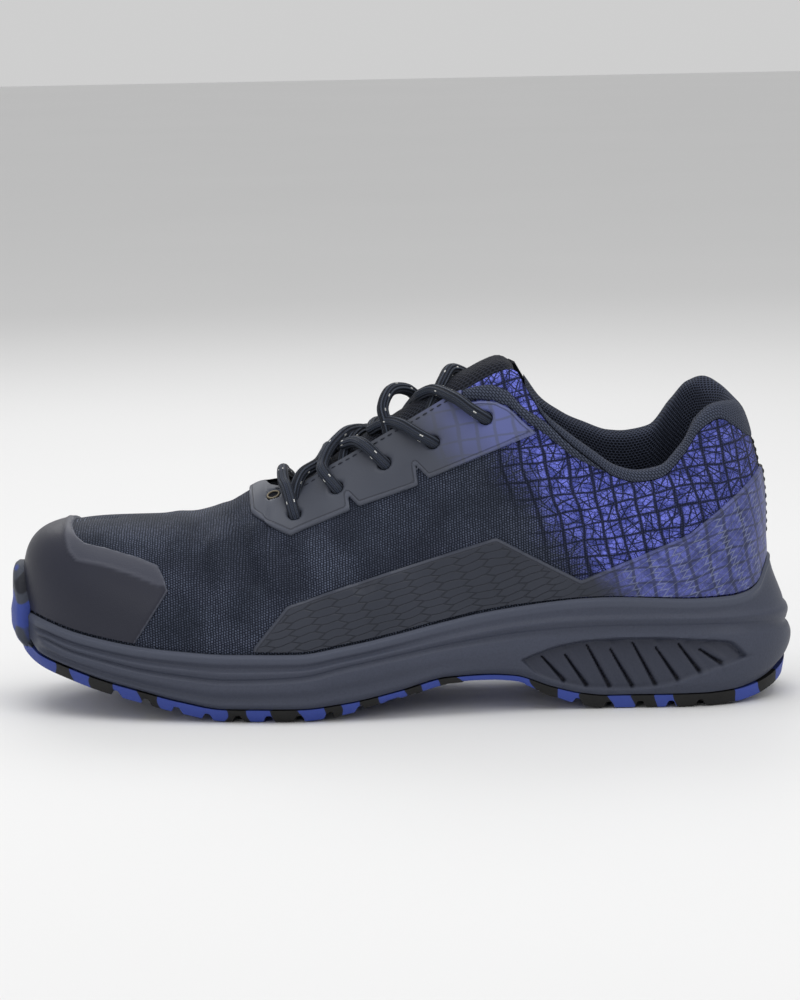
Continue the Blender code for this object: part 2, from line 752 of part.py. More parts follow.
def build_outsole():
    shape = Shape()
    sections = []
    for u, notch in tread_columns():
        section = []
        fade = blend(0.02, 0.10, min(u, 1 - u))

        def add(name, place, lift=None):
            place = place.to_3d() if lift is not None else place
            if lift is not None:
                place.z = tread(place.x) + lift
            section.append(shape.point((name, u), place))

        low = {}
        high = {}
        for side in (LATERAL, MEDIAL):
            recess = 0.6 * toe_recess(u, side)
            low[side] = rim(u, side, max(TREAD_EDGE, recess))
            high[side] = seam_spot(u, side)
            if u in (0.0, 1.0):
                low[side].y = high[side].y = edge(u, side).y
        ends = u in (0.0, 1.0)
        tag = (lambda name: name[0]) if ends else (lambda name: name)
        add(tag("low lateral"), low[LATERAL], notch * LUG_NOTCH_DEPTH)
        for k, row in enumerate(CHANNELS):
            place = low[LATERAL].lerp(low[MEDIAL], row["across"])
            depth = max(row["depth"] * fade, notch)
            name = "low" if ends else ("channel", k)
            add(name[0] if ends else name, place, depth * LUG_NOTCH_DEPTH)
        add(tag("low medial"), low[MEDIAL], notch * LUG_NOTCH_DEPTH)
        add(tag("high medial"), high[MEDIAL])
        add(tag("high lateral"), high[LATERAL])
        sections.append(section)
    for near, far in zip(sections, sections[1:]):
        for k in range(len(near)):
            shape.quad(near[k - 1], near[k], far[k], far[k - 1])
    return shape.build("outsole", RUBBER)


def build_bumper(pieces):
    """The rubber that wraps up the toe, seated on what lies behind it."""
    trees = []
    graph = bpy.context.evaluated_depsgraph_get()
    for piece in pieces:
        trees.append(BVHTree.FromObject(piece, graph))
    us = []
    u = 0.0
    while outline_step(u, LATERAL) < BUMPER_HALF_WIDTH:
        u += 1e-4
    across = 6
    marks = [(u * k / across, LATERAL) for k in range(across, 0, -1)]
    marks += [(u * k / across, MEDIAL) for k in range(across + 1)]
    heights = 7
    base = tread(-SHOE_LENGTH / 2) + 0.0010
    seats = []
    for u, side in marks:
        share = abs(outline_step(u, side)) / BUMPER_HALF_WIDTH
        low = tread(edge(u, side).x) + 0.0008
        top = BUMPER_TOP - 0.0045 * share**4
        column = []
        for k in range(heights):
            z = low + (top - low) * k / (heights - 1)
            out = outward(u, side).to_3d()
            origin = rim(u, side, -0.02).to_3d()
            origin.z = z
            depth = 0.02 + BUMPER_THICKNESS
            for tree in trees:
                place, _, _, distance = tree.ray_cast(origin, -out)
                if place:
                    depth = distance if depth == 0.02 + BUMPER_THICKNESS else min(depth, distance)
            column.append([origin, out, depth])
        seats.append(column)
    # The seat is the nearest of each spot's neighbours, so that it clears them all.
    clear = []
    for i in range(len(seats)):
        row = []
        for k in range(heights):
            near = [
                seats[m][n][2]
                for m in range(max(i - 1, 0), min(i + 2, len(seats)))
                for n in range(max(k - 1, 0), min(k + 2, heights))
            ]
            row.append(min(near) - CLEARANCE)
        clear.append(row)
    seat = []
    for i in range(len(seats)):
        row = []
        for k in range(heights):
            near = [
                clear[m][n]
                for m in range(max(i - 1, 0), min(i + 2, len(seats)))
                for n in range(max(k - 1, 0), min(k + 2, heights))
            ]
            row.append(sum(near) / len(near))
        seat.append(row)
    shape = Shape()
    for i, column in enumerate(seats):
        side_share = abs(2 * i / (len(seats) - 1) - 1)
        for k, (origin, out, _) in enumerate(column):
            thick = BUMPER_THICKNESS * (1 - 0.45 * side_share**6)
            thick *= 1 - 0.5 * (k == heights - 1)
            inner = origin - out * seat[i][k]
            shape.point(("in", i, k), inner)
            shape.point(("out", i, k), inner + out * thick)
    index = shape.index
    last = len(seats) - 1
    for name in ("in", "out"):
        for i in range(last):
            for k in range(heights - 1):
                shape.quad(*(index[(name, m, n)] for m, n in (
                    (i, k), (i + 1, k), (i + 1, k + 1), (i, k + 1))))
    for i in range(last):
        for k in (0, heights - 1):
            shape.quad(index[("in", i, k)], index[("in", i + 1, k)],
                       index[("out", i + 1, k)], index[("out", i, k)])
    for k in range(heights - 1):
        for i in (0, last):
            shape.quad(index[("in", i, k)], index[("in", i, k + 1)],
                       index[("out", i, k + 1)], index[("out", i, k)])
    return shape.build("bumper", RUBBER)


# The upper

def shell(name, look, sides, low, high, rows, first=0.0, last=1.0):
    """A closed shell between two distances from the upper's outer surface, over the
    columns whose station is between first and last."""
    us = [u for u in COLUMNS if first - 1e-6 <= fan(u)[0] <= last + 1e-6]
    shape = Shape()

    def spot(u, side, v, distance):
        shared = (u <= 0 or u >= 1 or on_ridge(u, v)) and len(sides) == 2
        key = (0 if shared else side, u, v, distance)
        return shape.point(key, offset(u, side, v, distance))

    def wall(path):
        """The edge between both surfaces, along a path of (u, side, v)."""
        for a, b in zip(path, path[1:]):
            shape.quad(spot(*a, low), spot(*b, low), spot(*b, high), spot(*a, high))

    for side in sides:
        for u, after in zip(us, us[1:]):
            for v, above in zip(rows, rows[1:]):
                for distance in (low, high):
                    cell = [
                        spot(u, side, v, distance),
                        spot(after, side, v, distance),
                        spot(after, side, above, distance),
                        spot(u, side, above, distance),
                    ]
                    # At the toe tip the other diagonal keeps both sides' cells apart.
                    shape.quad(*(cell[1:] + cell[:1] if u <= 0 else cell))
        wall([(u, side, rows[0]) for u in us])
        together = len(sides) == 2
        open_top = [u for u in us if not (together and on_ridge(u, rows[-1]))]
        if open_top and open_top[0] != us[0]:
            open_top.insert(0, us[us.index(open_top[0]) - 1])
        wall([(u, side, rows[-1]) for u in open_top])
        if not (together and us[0] <= 0):
            wall([(us[0], side, v) for v in rows])
        if not (together and us[-1] >= 1):
            wall([(us[-1], side, v) for v in rows])
    return shape.build(name, look)


def build_upper():
    return shell("upper", TEXTILE, (LATERAL, MEDIAL), -UPPER_WALL, 0.0, [-1.0] + ROWS)


def build_insole():
    shape = Shape()
    rings = []
    inset = LIP_INSET + LIP_THICKNESS + UPPER_WALL + 3 * CLEARANCE
    for extra, share in ((0.0006, 0.0), (0.0, 0.3), (0.0002, 0.8), (0.0012, 1.0)):
        ring = []
        for u, side in LOOP:
            # The wall beside it leans in from the bed to the lip.
            height = CLEARANCE + INSOLE_THICKNESS * share
            lean = (lip_inset(u) - LIP_INSET) * height / (lip(u) - bed(edge(u, side).x))
            place = rim(u, side, inset + extra + lean).to_3d()
            place.z = bed(place.x) + height
            ring.append(shape.point((extra, u, side), place))
        rings.append(ring)
    shape.ring_walls(rings)
    shape.floor(rings[0])
    shape.floor(rings[-1])
    return shape.build("insole", FOOTBED)


# Pieces laid on the upper. Each is cut from a larger form that runs between two
# distances from the upper's skin, by an outline in side view: station, and height
# as a share of the height of the throat's top.

TOE_CAP = table(
    "station height",
    (0.083, 0.650),
    (0.083, 0.540),
    (0.091, 0.519),
    (0.103, 0.503),
    (0.130, 0.492),
    (0.172, 0.468),
    (0.196, 0.447),
    (0.204, 0.414),
    (0.209, 0.378),
    (0.166, 0.225),
    (0.150, 0.150),
    (-0.050, 0.150),
    (-0.050, 0.650),
)
EYESTAY = table(
    "station height",
    (0.300, 0.750),
    (0.309, 0.651),
    (0.314, 0.585),
    (0.328, 0.562),
    (0.364, 0.529),
    (0.439, 0.601),
    (0.437, 0.640),
    (0.450, 0.612),
    (0.525, 0.671),
    (0.522, 0.728),
    (0.538, 0.691),
    (0.668, 0.811),
    (0.674, 0.818),
    (0.671, 0.824),
    (0.662, 0.841),
    (0.650, 0.870),
    (0.640, 0.889),
    (0.624, 0.907),
    (0.606, 0.909),
    (0.584, 0.901),
    (0.575, 1.100),
    (0.450, 1.100),
)
BAND = table(
    "station upper lower",
    (0.584, 0.936, 0.905),
    (0.603, 0.949, 0.913),
    (0.620, 0.954, 0.912),
    (0.640, 0.936, 0.894),
    (0.652, 0.906, 0.872),
    (0.664, 0.880, 0.846),
    (0.676, 0.862, 0.828),
    (0.688, 0.842, 0.808),
    (0.704, 0.812, 0.776),
    (0.716, 0.790, 0.752),
)
SIDE_FILM = table(
    "station above",
    (0.312, -0.050),
    (0.316, 0.028),
    (0.358, 0.174),
    (0.455, 0.234),
    (0.621, 0.308),
    (0.727, 0.082),
    (0.862, 0.284),
    (0.953, 0.505),
    (1.050, 0.640),
    (1.050, -0.050),
    (0.950, -0.050),
    (0.850, -0.050),
    (0.720, -0.050),
    (0.580, -0.050),
    (0.440, -0.050),
)
BAND_HEIGHT = 0.0018
OVERLAY_ROWS = [0.015] + ROWS[1:]


def side_view(rows, column="height"):
    return [
        ((row["station"] - 0.5) * SHOE_LENGTH, row[column] * THROAT_TOP_HEIGHT)
        for row in rows
    ]


def above_lip(rows):
    """Side view of rows with heights as shares of the way from the sole's lip up."""
    found = []
    for row in rows:
        low = along(SOLE, row["station"], "lip") * HEEL_STACK
        height = low + row["above"] * (THROAT_TOP_HEIGHT - low)
        found.append(((row["station"] - 0.5) * SHOE_LENGTH, height))
    return found


def overlay(name, look, outline, rows, first, last, sides=(LATERAL, MEDIAL), high=None):
    high = high or CLEARANCE + OVERLAY_THICKNESS
    form = shell(name, look, sides, CLEARANCE, high, rows, first, last)
    near = -BALL_WIDTH if LATERAL in sides else 0.001
    far = BALL_WIDTH if MEDIAL in sides else -0.001
    combine(form, prism(outline, near, far), "INTERSECT")
    return form


# The tongue

# Tongue: crown above the throat's edges in metres, by the foot of the column.
TONGUE = table(
    "foot crown",
    (0.290, -0.0060),
    (0.340, -0.0040),
    (0.362, -0.0020),
    (0.420, 0.0030),
    (0.515, 0.0055),
    (0.590, 0.0060),
    (0.615, 0.0050),
    (0.636, 0.0010),
)
TABLES["tongue"] = TONGUE
NAMES[id(TONGUE)] = "tongue"


def tongue_section(u, thickness):
    """Points across the tongue from the lateral wing to the medial one."""
    station = fan(u)[0]
    ridge = on_ridge(u, 1.0)
    wing = (0.66, 0.76, 0.86) if ridge else (0.80, 0.90, 1.0)
    depth = UPPER_WALL + CLEARANCE
    thin = (0.35, 0.45, 0.60)
    lateral = [offset(u, LATERAL, v, -depth - thickness * t) for v, t in zip(wing, thin)]
    medial = [offset(u, MEDIAL, v, -depth - thickness * t) for v, t in zip(wing, thin)]
    if ridge:
        spots = ((LATERAL, 0.92), (LATERAL, 0.97), (LATERAL, 1.0), (MEDIAL, 0.97), (MEDIAL, 0.92))
        arch = [offset(u, side, v, -depth - thickness * 0.6) for side, v in spots]
        return lateral + arch + medial[::-1]
    start, end = lateral[-1], medial[-1]
    peak = skin(u, LATERAL, 1.0).z + along(TONGUE, station, "crown") - thickness
    climb = peak - (start.z + end.z) / 2
    # The arch leaves both edges along the upper's own slope.
    lean = math.radians(along(SECTION, station, "lean"))
    carry = climb / (0.75 * max(math.sin(lean), 0.3))
    carry = min(max(carry, 0.001), 0.45 * (end - start).length)
    first = (skin(u, LATERAL, 1.0) - skin(u, LATERAL, 0.97)).normalized()
    last = (skin(u, MEDIAL, 1.0) - skin(u, MEDIAL, 0.97)).normalized()
    spare = climb - 0.75 * carry * (first.z + last.z) / 2
    arch = []
    for t in (0.18, 0.34, 0.5, 0.66, 0.82):
        w = 1 - t
        place = (
            start * w**3
            + (start + first * carry) * (3 * w * w * t)
            + (end + last * carry) * (3 * w * t * t)
            + end * t**3
        )
        place.z += spare * 4 * t * w
        arch.append(place)
    return lateral + arch + medial[::-1]


def build_tongue():
    shape = Shape()
    rings = []
    us = [u for u in COLUMNS if 0.289 <= fan(u)[0] <= QUARTER_CORNER + 1e-6]
    for u in us:
        thickness = TONGUE_THICKNESS * (0.55 + 0.45 * blend(0.30, 0.50, fan(u)[0]))
        top = tongue_section(u, 0.0)
        under = tongue_section(u, thickness)
        if u == us[-1]:
            under = [a.lerp(b, 0.6) for a, b in zip(top, under)]
        ring = [shape.point(("top", u, k), place) for k, place in enumerate(top)]
        ring += [shape.point(("under", u, k), under[k]) for k in reversed(range(len(under)))]
        rings.append(ring)
    shape.ring_walls(rings)
    for ring in (rings[0], rings[-1]):
        half = len(ring) // 2
        for k in range(half - 1):
            shape.quad(ring[k], ring[k + 1], ring[-(k + 2)], ring[-(k + 1)])
    return shape.build("tongue", TONGUE_CLOTH)


# The padded collar

# Pad: share of its depth below the top line, and share of its thickness.
PAD = table(
    "depth thick",
    (0.14, 1.00),
    (0.40, 0.95),
    (0.72, 0.70),
    (1.00, 0.25),
)


def collar_section(u, side):
    top = skin(u, side, 1.0)
    station = fan(u)[0]
    out = skin_normal(u, side, 1.0)
    up = (top - skin(u, side, 0.97)).normalized()
    height = COLLAR_ROLL * along(TOP_LINE, station, "roll")
    width = UPPER_WALL + CLEARANCE + COLLAR_PAD_THICKNESS
    span = (top - guides(u, side)[1]).length
    behind = UPPER_WALL + CLEARANCE
    points = [
        top + up * CLEARANCE,
        top + up * (0.30 * height) + out * 0.0007,
        top + up * (0.75 * height) + out * 0.0003,
        top + up * height - out * (0.22 * width),
        top + up * (0.97 * height) - out * (0.50 * width),
        top + up * (0.55 * height) - out * (0.88 * width),
    ]
    for row in PAD:
        v = 1 - row["depth"] * COLLAR_PAD_DEPTH / span
        points.append(offset(u, side, v, -behind - COLLAR_PAD_THICKNESS * row["thick"]))
    for row in reversed(PAD):
        v = 1 - row["depth"] * COLLAR_PAD_DEPTH / span
        points.append(offset(u, side, v, -behind))
    points.append(top + up * CLEARANCE - out * behind)
    return points


def build_collar():
    shape = Shape()
    us = [u for u in COLUMNS if fan(u)[0] >= COLLAR_START - 1e-6]
    spots = [(u, LATERAL) for u in us] + [(u, MEDIAL) for u in us[-2::-1]]
    rings = []
    for u, side in spots:
        rings.append([
            shape.point((u, side, k), place)
            for k, place in enumerate(collar_section(u, side))
        ])
    shape.ring_walls(rings)
    for ring in (rings[0], rings[-1]):
        caps = [(ring[0], ring[1], ring[-1]), (ring[1], ring[2], ring[-1])]
        caps += [(ring[2], ring[3], ring[-1]), (ring[3], ring[4], ring[-1])]
        caps += [(ring[4], ring[5], ring[-1])]
        shape.faces += caps
        shape.quad(ring[5], ring[6], ring[-2], ring[-1])
        for k in range(6, 9):
            shape.quad(ring[k], ring[k + 1], ring[-(k - 3)], ring[-(k - 4)])
    return shape.build("collar", KNIT)


# The lace

# Eyelets: station, and height as a share of the height of the throat's top.
EYELETS = table(
    "station height",
    (0.369, 0.580),
    (0.424, 0.657),
    (0.485, 0.729),
    (0.546, 0.791),
    (0.608, 0.860),
)


def eyelet_place(row, side):
    """u and v of an eyelet on the upper."""
    u = at_station(row["station"])
    low, high = 0.2, 1.0
    for _ in range(24):
        middle = (low + high) / 2
        if skin(u, side, middle).z < row["height"] * THROAT_TOP_HEIGHT:
            low = middle
        else:
            high = middle
    return u, low


def tube(name, path, radius):
    """A four-sided cord along a path of points."""
    shape = Shape()
    rings = []
    for k, place in enumerate(path):
        before, after = path[max(k - 1, 0)], path[min(k + 1, len(path) - 1)]
        way = (after - before).normalized()
        across = way.cross(Vector((0, 0, 1))).normalized()
        over = across.cross(way).normalized()
        rings.append([
            shape.point(
                (k, n),
                place
                + across * (radius * math.cos(n * math.pi / 2))
                + over * (radius * math.sin(n * math.pi / 2)),
            )
            for n in range(4)
        ])
    shape.ring_walls(rings)
    for ring in (rings[0], rings[-1]):
        shape.quad(*ring)
    return shape.build(name, CORD)


def strand(start, end, side):
    """A lace's path from an eyelet on one side over the tongue to one opposite."""
    radius = LACE_DIAMETER / 2
    high = BAND_HEIGHT if EYELETS[-1] in (start, end) else OVERLAY_THICKNESS
    above = 2 * CLEARANCE + high + radius + (0.0008 if start == end else 0.0004)
    (u, v), (u2, v2) = eyelet_place(start, side), eyelet_place(end, -side)

    def laid(share, way, up, more=0.0):
        return offset(u + (u2 - u) * share, way, up, above + more)

    near = [laid(0.0, side, v), laid(0.12, side, (v + 1) / 2, 0.0006), laid(0.24, side, 1.0, 0.0010)]
    far = [laid(0.76, -side, 1.0, 0.0010), laid(0.88, -side, (v2 + 1) / 2, 0.0006), laid(1.0, -side, v2)]
    across = []
    for share, number in ((0.43, 4), (0.57, 6)):
        section = tongue_section(u + (u2 - u) * share, 0.0)
        place = section[number if side == LATERAL else 10 - number]
        lean = Vector((-0.45, 0.0, 1.0)).normalized()
        across.append(place + lean * (2 * CLEARANCE + radius + 0.0006))
    return near + across + far


def build_lace():
    lace = tube("lace", strand(EYELETS[0], EYELETS[0], LATERAL), LACE_DIAMETER / 2)
    for start, end in zip(EYELETS, EYELETS[1:]):
        for side in (LATERAL, MEDIAL):
            combine(lace, tube("strand", strand(start, end, side), LACE_DIAMETER / 2), "UNION")
    return lace


for old in list(bpy.data.objects):
    bpy.data.objects.remove(old)

midsole = build_midsole()
cut_window(midsole)
upper = build_upper()
toe_cap = overlay("toe_cap", FILM, side_view(TOE_CAP), OVERLAY_ROWS, 0.0, 0.26)
outsole = build_outsole()
insole = build_insole()
bumper = build_bumper([midsole, upper, toe_cap])
combine(outsole, bumper, "UNION")
overlay("eyestay", FILM, side_view(EYESTAY), ROWS[4:], 0.25, 0.70)
overlay("side_film", PANEL, above_lip(SIDE_FILM), OVERLAY_ROWS[:9], 0.27, 1.0)
ends = side_view(BAND, "upper") + side_view(BAND, "lower")[::-1]
for name, side in (("band_lateral", LATERAL), ("band_medial", MEDIAL)):
    overlay(name, KNIT, ends, ROWS[5:], 0.54, 0.72, (side,), CLEARANCE + BAND_HEIGHT)
build_tongue()
build_collar()
build_lace()
for piece in bpy.context.scene.collection.objects:
    print(piece.name, len(piece.data.polygons))
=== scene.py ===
# %% [markdown]
# A low safety sneaker for the left foot, dressed as in a product photograph.
#
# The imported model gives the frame: toe to -X, outer side to -Y, +Z up, metres. Every
# soft or moulded piece is made again here at a fine resolution from the same named
# sizes and tables, so it lies where its solid lies, and gets its own material.

# %% Load the frame
import math
from functools import lru_cache

import bmesh
import bpy
from mathutils import Matrix, Vector, noise
from mathutils.bvhtree import BVHTree


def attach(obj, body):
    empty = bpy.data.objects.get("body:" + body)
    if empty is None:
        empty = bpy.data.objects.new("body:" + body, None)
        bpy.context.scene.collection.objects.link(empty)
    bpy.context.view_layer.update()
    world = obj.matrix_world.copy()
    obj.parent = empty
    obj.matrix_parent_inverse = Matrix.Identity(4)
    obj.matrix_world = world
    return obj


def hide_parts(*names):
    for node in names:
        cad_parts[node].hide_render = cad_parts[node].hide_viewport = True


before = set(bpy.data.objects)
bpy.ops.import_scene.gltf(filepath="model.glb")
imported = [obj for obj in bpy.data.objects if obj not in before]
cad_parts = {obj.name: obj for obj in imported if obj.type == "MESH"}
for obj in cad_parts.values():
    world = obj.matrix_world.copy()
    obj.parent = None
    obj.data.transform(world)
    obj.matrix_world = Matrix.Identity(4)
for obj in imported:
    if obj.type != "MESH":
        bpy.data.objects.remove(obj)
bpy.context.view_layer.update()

print("nodes:", ", ".join(sorted(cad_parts)))

# %% [markdown]
# ## Camera and light
#
# The photograph looks straight at the outer side from a little above, from about a
# metre and a half, and it is turned by one degree. The light is a large soft tent:
# a broad light above the shoe, a weaker one in front and one behind the heel.

# %% Camera
DISTANCE = 1.5
ELEVATION = math.radians(9)
ROLL = math.radians(1.13)
LOOK_AT = Vector((0.0, 0.0, 0.060))
PIXELS_PER_METRE = 2600.0
IMAGE_WIDTH, IMAGE_HEIGHT = 800, 1000
CENTRE_X, CENTRE_Y = 399.5, 540.0

camera = bpy.data.objects.new("camera", bpy.data.cameras.new("camera"))
bpy.context.scene.collection.objects.link(camera)
bpy.context.scene.camera = camera
back = Vector((0, -math.cos(ELEVATION), math.sin(ELEVATION)))
camera.location = LOOK_AT + back * DISTANCE
camera.rotation_mode = "QUATERNION"
turn = (-back).to_track_quat("-Z", "Y").to_matrix() @ Matrix.Rotation(-ROLL, 3, "Z")
camera.rotation_quaternion = turn.to_quaternion()
camera.data.sensor_fit = "VERTICAL"
camera.data.sensor_height = 36.0
camera.data.sensor_width = 36.0
camera.data.lens = PIXELS_PER_METRE * DISTANCE / IMAGE_HEIGHT * 36.0
camera.data.shift_x = (IMAGE_WIDTH / 2 - CENTRE_X) / IMAGE_HEIGHT
camera.data.shift_y = (CENTRE_Y - IMAGE_HEIGHT / 2) / IMAGE_HEIGHT
camera.data.clip_start, camera.data.clip_end = 0.1, 20

# %% Light and floor


def area_light(name, place, aim, size, power):
    data = bpy.data.lights.new(name, "AREA")
    data.shape = "RECTANGLE"
    data.size, data.size_y = size
    data.energy = power
    lamp = bpy.data.objects.new(name, data)
    bpy.context.scene.collection.objects.link(lamp)
    lamp.location = place
    lamp.rotation_mode = "QUATERNION"
    lamp.rotation_quaternion = (Vector(aim) - Vector(place)).to_track_quat("-Z", "Y")
    return lamp


area_light("top light", (0.0, -0.10, 1.3), (0, 0, 0.05), (1.5, 0.9), 8.5)
area_light("front light", (-0.7, -1.4, 0.55), (-0.03, 0, 0.05), (0.9, 0.5), 2.6)
area_light("heel light", (1.0, -0.7, 0.75), (0.10, 0, 0.06), (0.4, 0.7), 2.6)
area_light("far light", (-0.2, 1.0, 0.8), (0, 0, 0.08), (0.9, 0.5), 3.0)

world = bpy.data.worlds.new("studio")
bpy.context.scene.world = world
world.use_nodes = True
world.node_tree.nodes["Background"].inputs["Color"].default_value = (1, 1, 1, 1)
world.node_tree.nodes["Background"].inputs["Strength"].default_value = 0.62
bpy.context.scene.view_settings.view_transform = "Standard"

bpy.ops.mesh.primitive_plane_add(size=12, location=(0, 0, -0.0004))
floor = bpy.context.object
floor.name = "floor"

# %% [markdown]
# ## Named sizes
#
# These are the shoe's own sizes, the same ones its solids are worked out from. A
# station is a share of the length, 0 at the toe tip and 1 at the back of the heel.

# %% Sizes and tables
SHOE_LENGTH = 0.300
BALL_WIDTH = 0.108
TOE_SPRING = 0.020
ARCH_RISE = 0.0125
HEEL_BEVEL = 0.012
HEEL_STACK = 0.042
TOE_BOX_HEIGHT = 0.0698
THROAT_TOP_HEIGHT = 0.1275
COLLAR_HEIGHT = 0.0855
COLLAR_MEDIAL_RISE = 0.0070
HEEL_TAB_HEIGHT = 0.1075
THROAT_GAP = 0.032
CLEARANCE = 0.0003
UPPER_WALL = 0.0020
FILM_THICKNESS = 0.0010
LIP_INSET = 0.0036
LIP_THICKNESS = 0.0016
LIP_BAND = 0.0030
OUTSOLE_BAND = 0.0046
ARCH_THIN = 0.45
LUG_PITCH = 0.0117
LUG_NOTCH_WIDTH = 0.0032
LUG_NOTCH_DEPTH = 0.0027
INSOLE_THICKNESS = 0.0045
BUMPER_THICKNESS = 0.0030
BUMPER_HALF_WIDTH = 0.0205
BUMPER_TOP = 0.0540
TONGUE_THICKNESS = 0.0050
COLLAR_PAD_THICKNESS = 0.0065
COLLAR_ROLL = 0.0048
COLLAR_PAD_DEPTH = 0.036
WINDOW_DEPTH = 0.0032
SLIT_DEPTH = 0.0014
LACE_DIAMETER = 0.0046
BAND_HEIGHT = 0.0018
TOE_ROUND, TOE_POWER = 0.25, 2.25
HEEL_ROUND, HEEL_POWER = 0.17, 2.2
TOE_TURN, HEEL_TURN = 0.29, 0.79
LATERAL, MEDIAL = -1, 1


def table(names, *rows):
    """Rows of numbers with named columns."""
    return [dict(zip(names.split(), row)) for row in rows]


PLAN = table(
    "station centre lateral medial",
    (0.00, 0.060, 0.450, 0.400),
    (0.10, 0.050, 0.455, 0.415),
    (0.20, 0.030, 0.465, 0.450),
    (0.28, 0.010, 0.485, 0.490),
    (0.36, 0.000, 0.500, 0.485),
    (0.46, -0.010, 0.465, 0.420),
    (0.56, -0.016, 0.400, 0.345),
    (0.66, -0.012, 0.362, 0.325),
    (0.76, -0.005, 0.358, 0.342),
    (0.86, 0.000, 0.368, 0.362),
    (1.00, 0.000, 0.372, 0.368),
)
SOLE = table(
    "station spring arch bevel bed crease lip draw",
    (0.000, 1.32, 0.00, 0.00, 0.655, 0.730, 0.875, 1.00),
    (0.020, 1.04, 0.00, 0.00, 0.650, 0.715, 0.862, 1.00),
    (0.040, 0.87, 0.00, 0.00, 0.640, 0.690, 0.828, 1.00),
    (0.080, 0.68, 0.00, 0.00, 0.612, 0.595, 0.755, 1.00),
    (0.120, 0.50, 0.00, 0.00, 0.572, 0.532, 0.702, 1.00),
    (0.170, 0.32, 0.00, 0.00, 0.520, 0.458, 0.650, 1.00),
    (0.220, 0.14, 0.00, 0.00, 0.465, 0.408, 0.618, 1.00),
    (0.280, 0.00, 0.00, 0.00, 0.405, 0.371, 0.596, 1.00),
    (0.370, 0.00, 0.00, 0.00, 0.395, 0.395, 0.596, 1.00),
    (0.430, 0.00, 0.16, 0.00, 0.430, 0.478, 0.655, 1.00),
    (0.500, 0.00, 0.54, 0.00, 0.530, 0.565, 0.747, 1.00),
    (0.560, 0.00, 0.90, 0.00, 0.610, 0.630, 0.836, 1.00),
    (0.600, 0.00, 0.92, 0.00, 0.660, 0.665, 0.890, 1.00),
    (0.640, 0.00, 0.84, 0.00, 0.700, 0.698, 0.930, 1.00),
    (0.690, 0.00, 0.36, 0.00, 0.745, 0.722, 0.973, 1.00),
    (0.730, 0.00, 0.08, 0.00, 0.765, 0.735, 0.995, 1.00),
    (0.757, 0.00, 0.00, 0.00, 0.772, 0.740, 1.000, 1.00),
    (0.880, 0.00, 0.00, 0.00, 0.772, 0.735, 0.972, 1.00),
    (0.920, 0.00, 0.00, 0.05, 0.768, 0.722, 0.976, 1.02),
    (0.945, 0.00, 0.00, 0.16, 0.760, 0.706, 1.000, 1.12),
    (0.965, 0.00, 0.00, 0.32, 0.748, 0.690, 1.050, 1.50),
    (0.985, 0.00, 0.00, 0.58, 0.740, 0.664, 1.170, 2.05),
    (1.000, 0.00, 0.00, 0.95, 0.740, 0.636, 1.260, 2.33),
)
SIDE_WALL = table(
    "zone share fore heel",
    (0, 0.00, 0.0016, 0.0030),
    (0, 0.16, 0.0004, 0.0009),
    (0, 0.38, 0.0011, 0.0001),
    (0, 0.62, 0.0000, 0.0000),
    (0, 0.86, 0.0005, 0.0008),
    (1, 0.00, 0.0019, 0.0022),
    (1, 0.16, 0.0014, 0.0016),
    (1, 0.44, 0.0014, 0.0010),
    (1, 0.66, 0.0031, 0.0026),
    (2, 0.00, -0.0010, -0.0006),
    (2, 0.72, -0.0010, -0.0006),
    (2, 1.00, 0.0004, 0.0004),
)
SHOULDER = 0.98
FORE_END, HEEL_START = 0.44, 0.64
NOTCHED = (0.137, 0.877)
WINDOW = table(
    "station top low",
    (0.649, 0.470, 0.470),
    (0.670, 0.530, 0.325),
    (0.701, 0.597, 0.236),
    (0.740, 0.634, 0.176),
    (0.789, 0.643, 0.165),
    (0.830, 0.640, 0.195),
    (0.870, 0.620, 0.283),
    (0.912, 0.588, 0.372),
    (0.938, 0.425, 0.425),
)
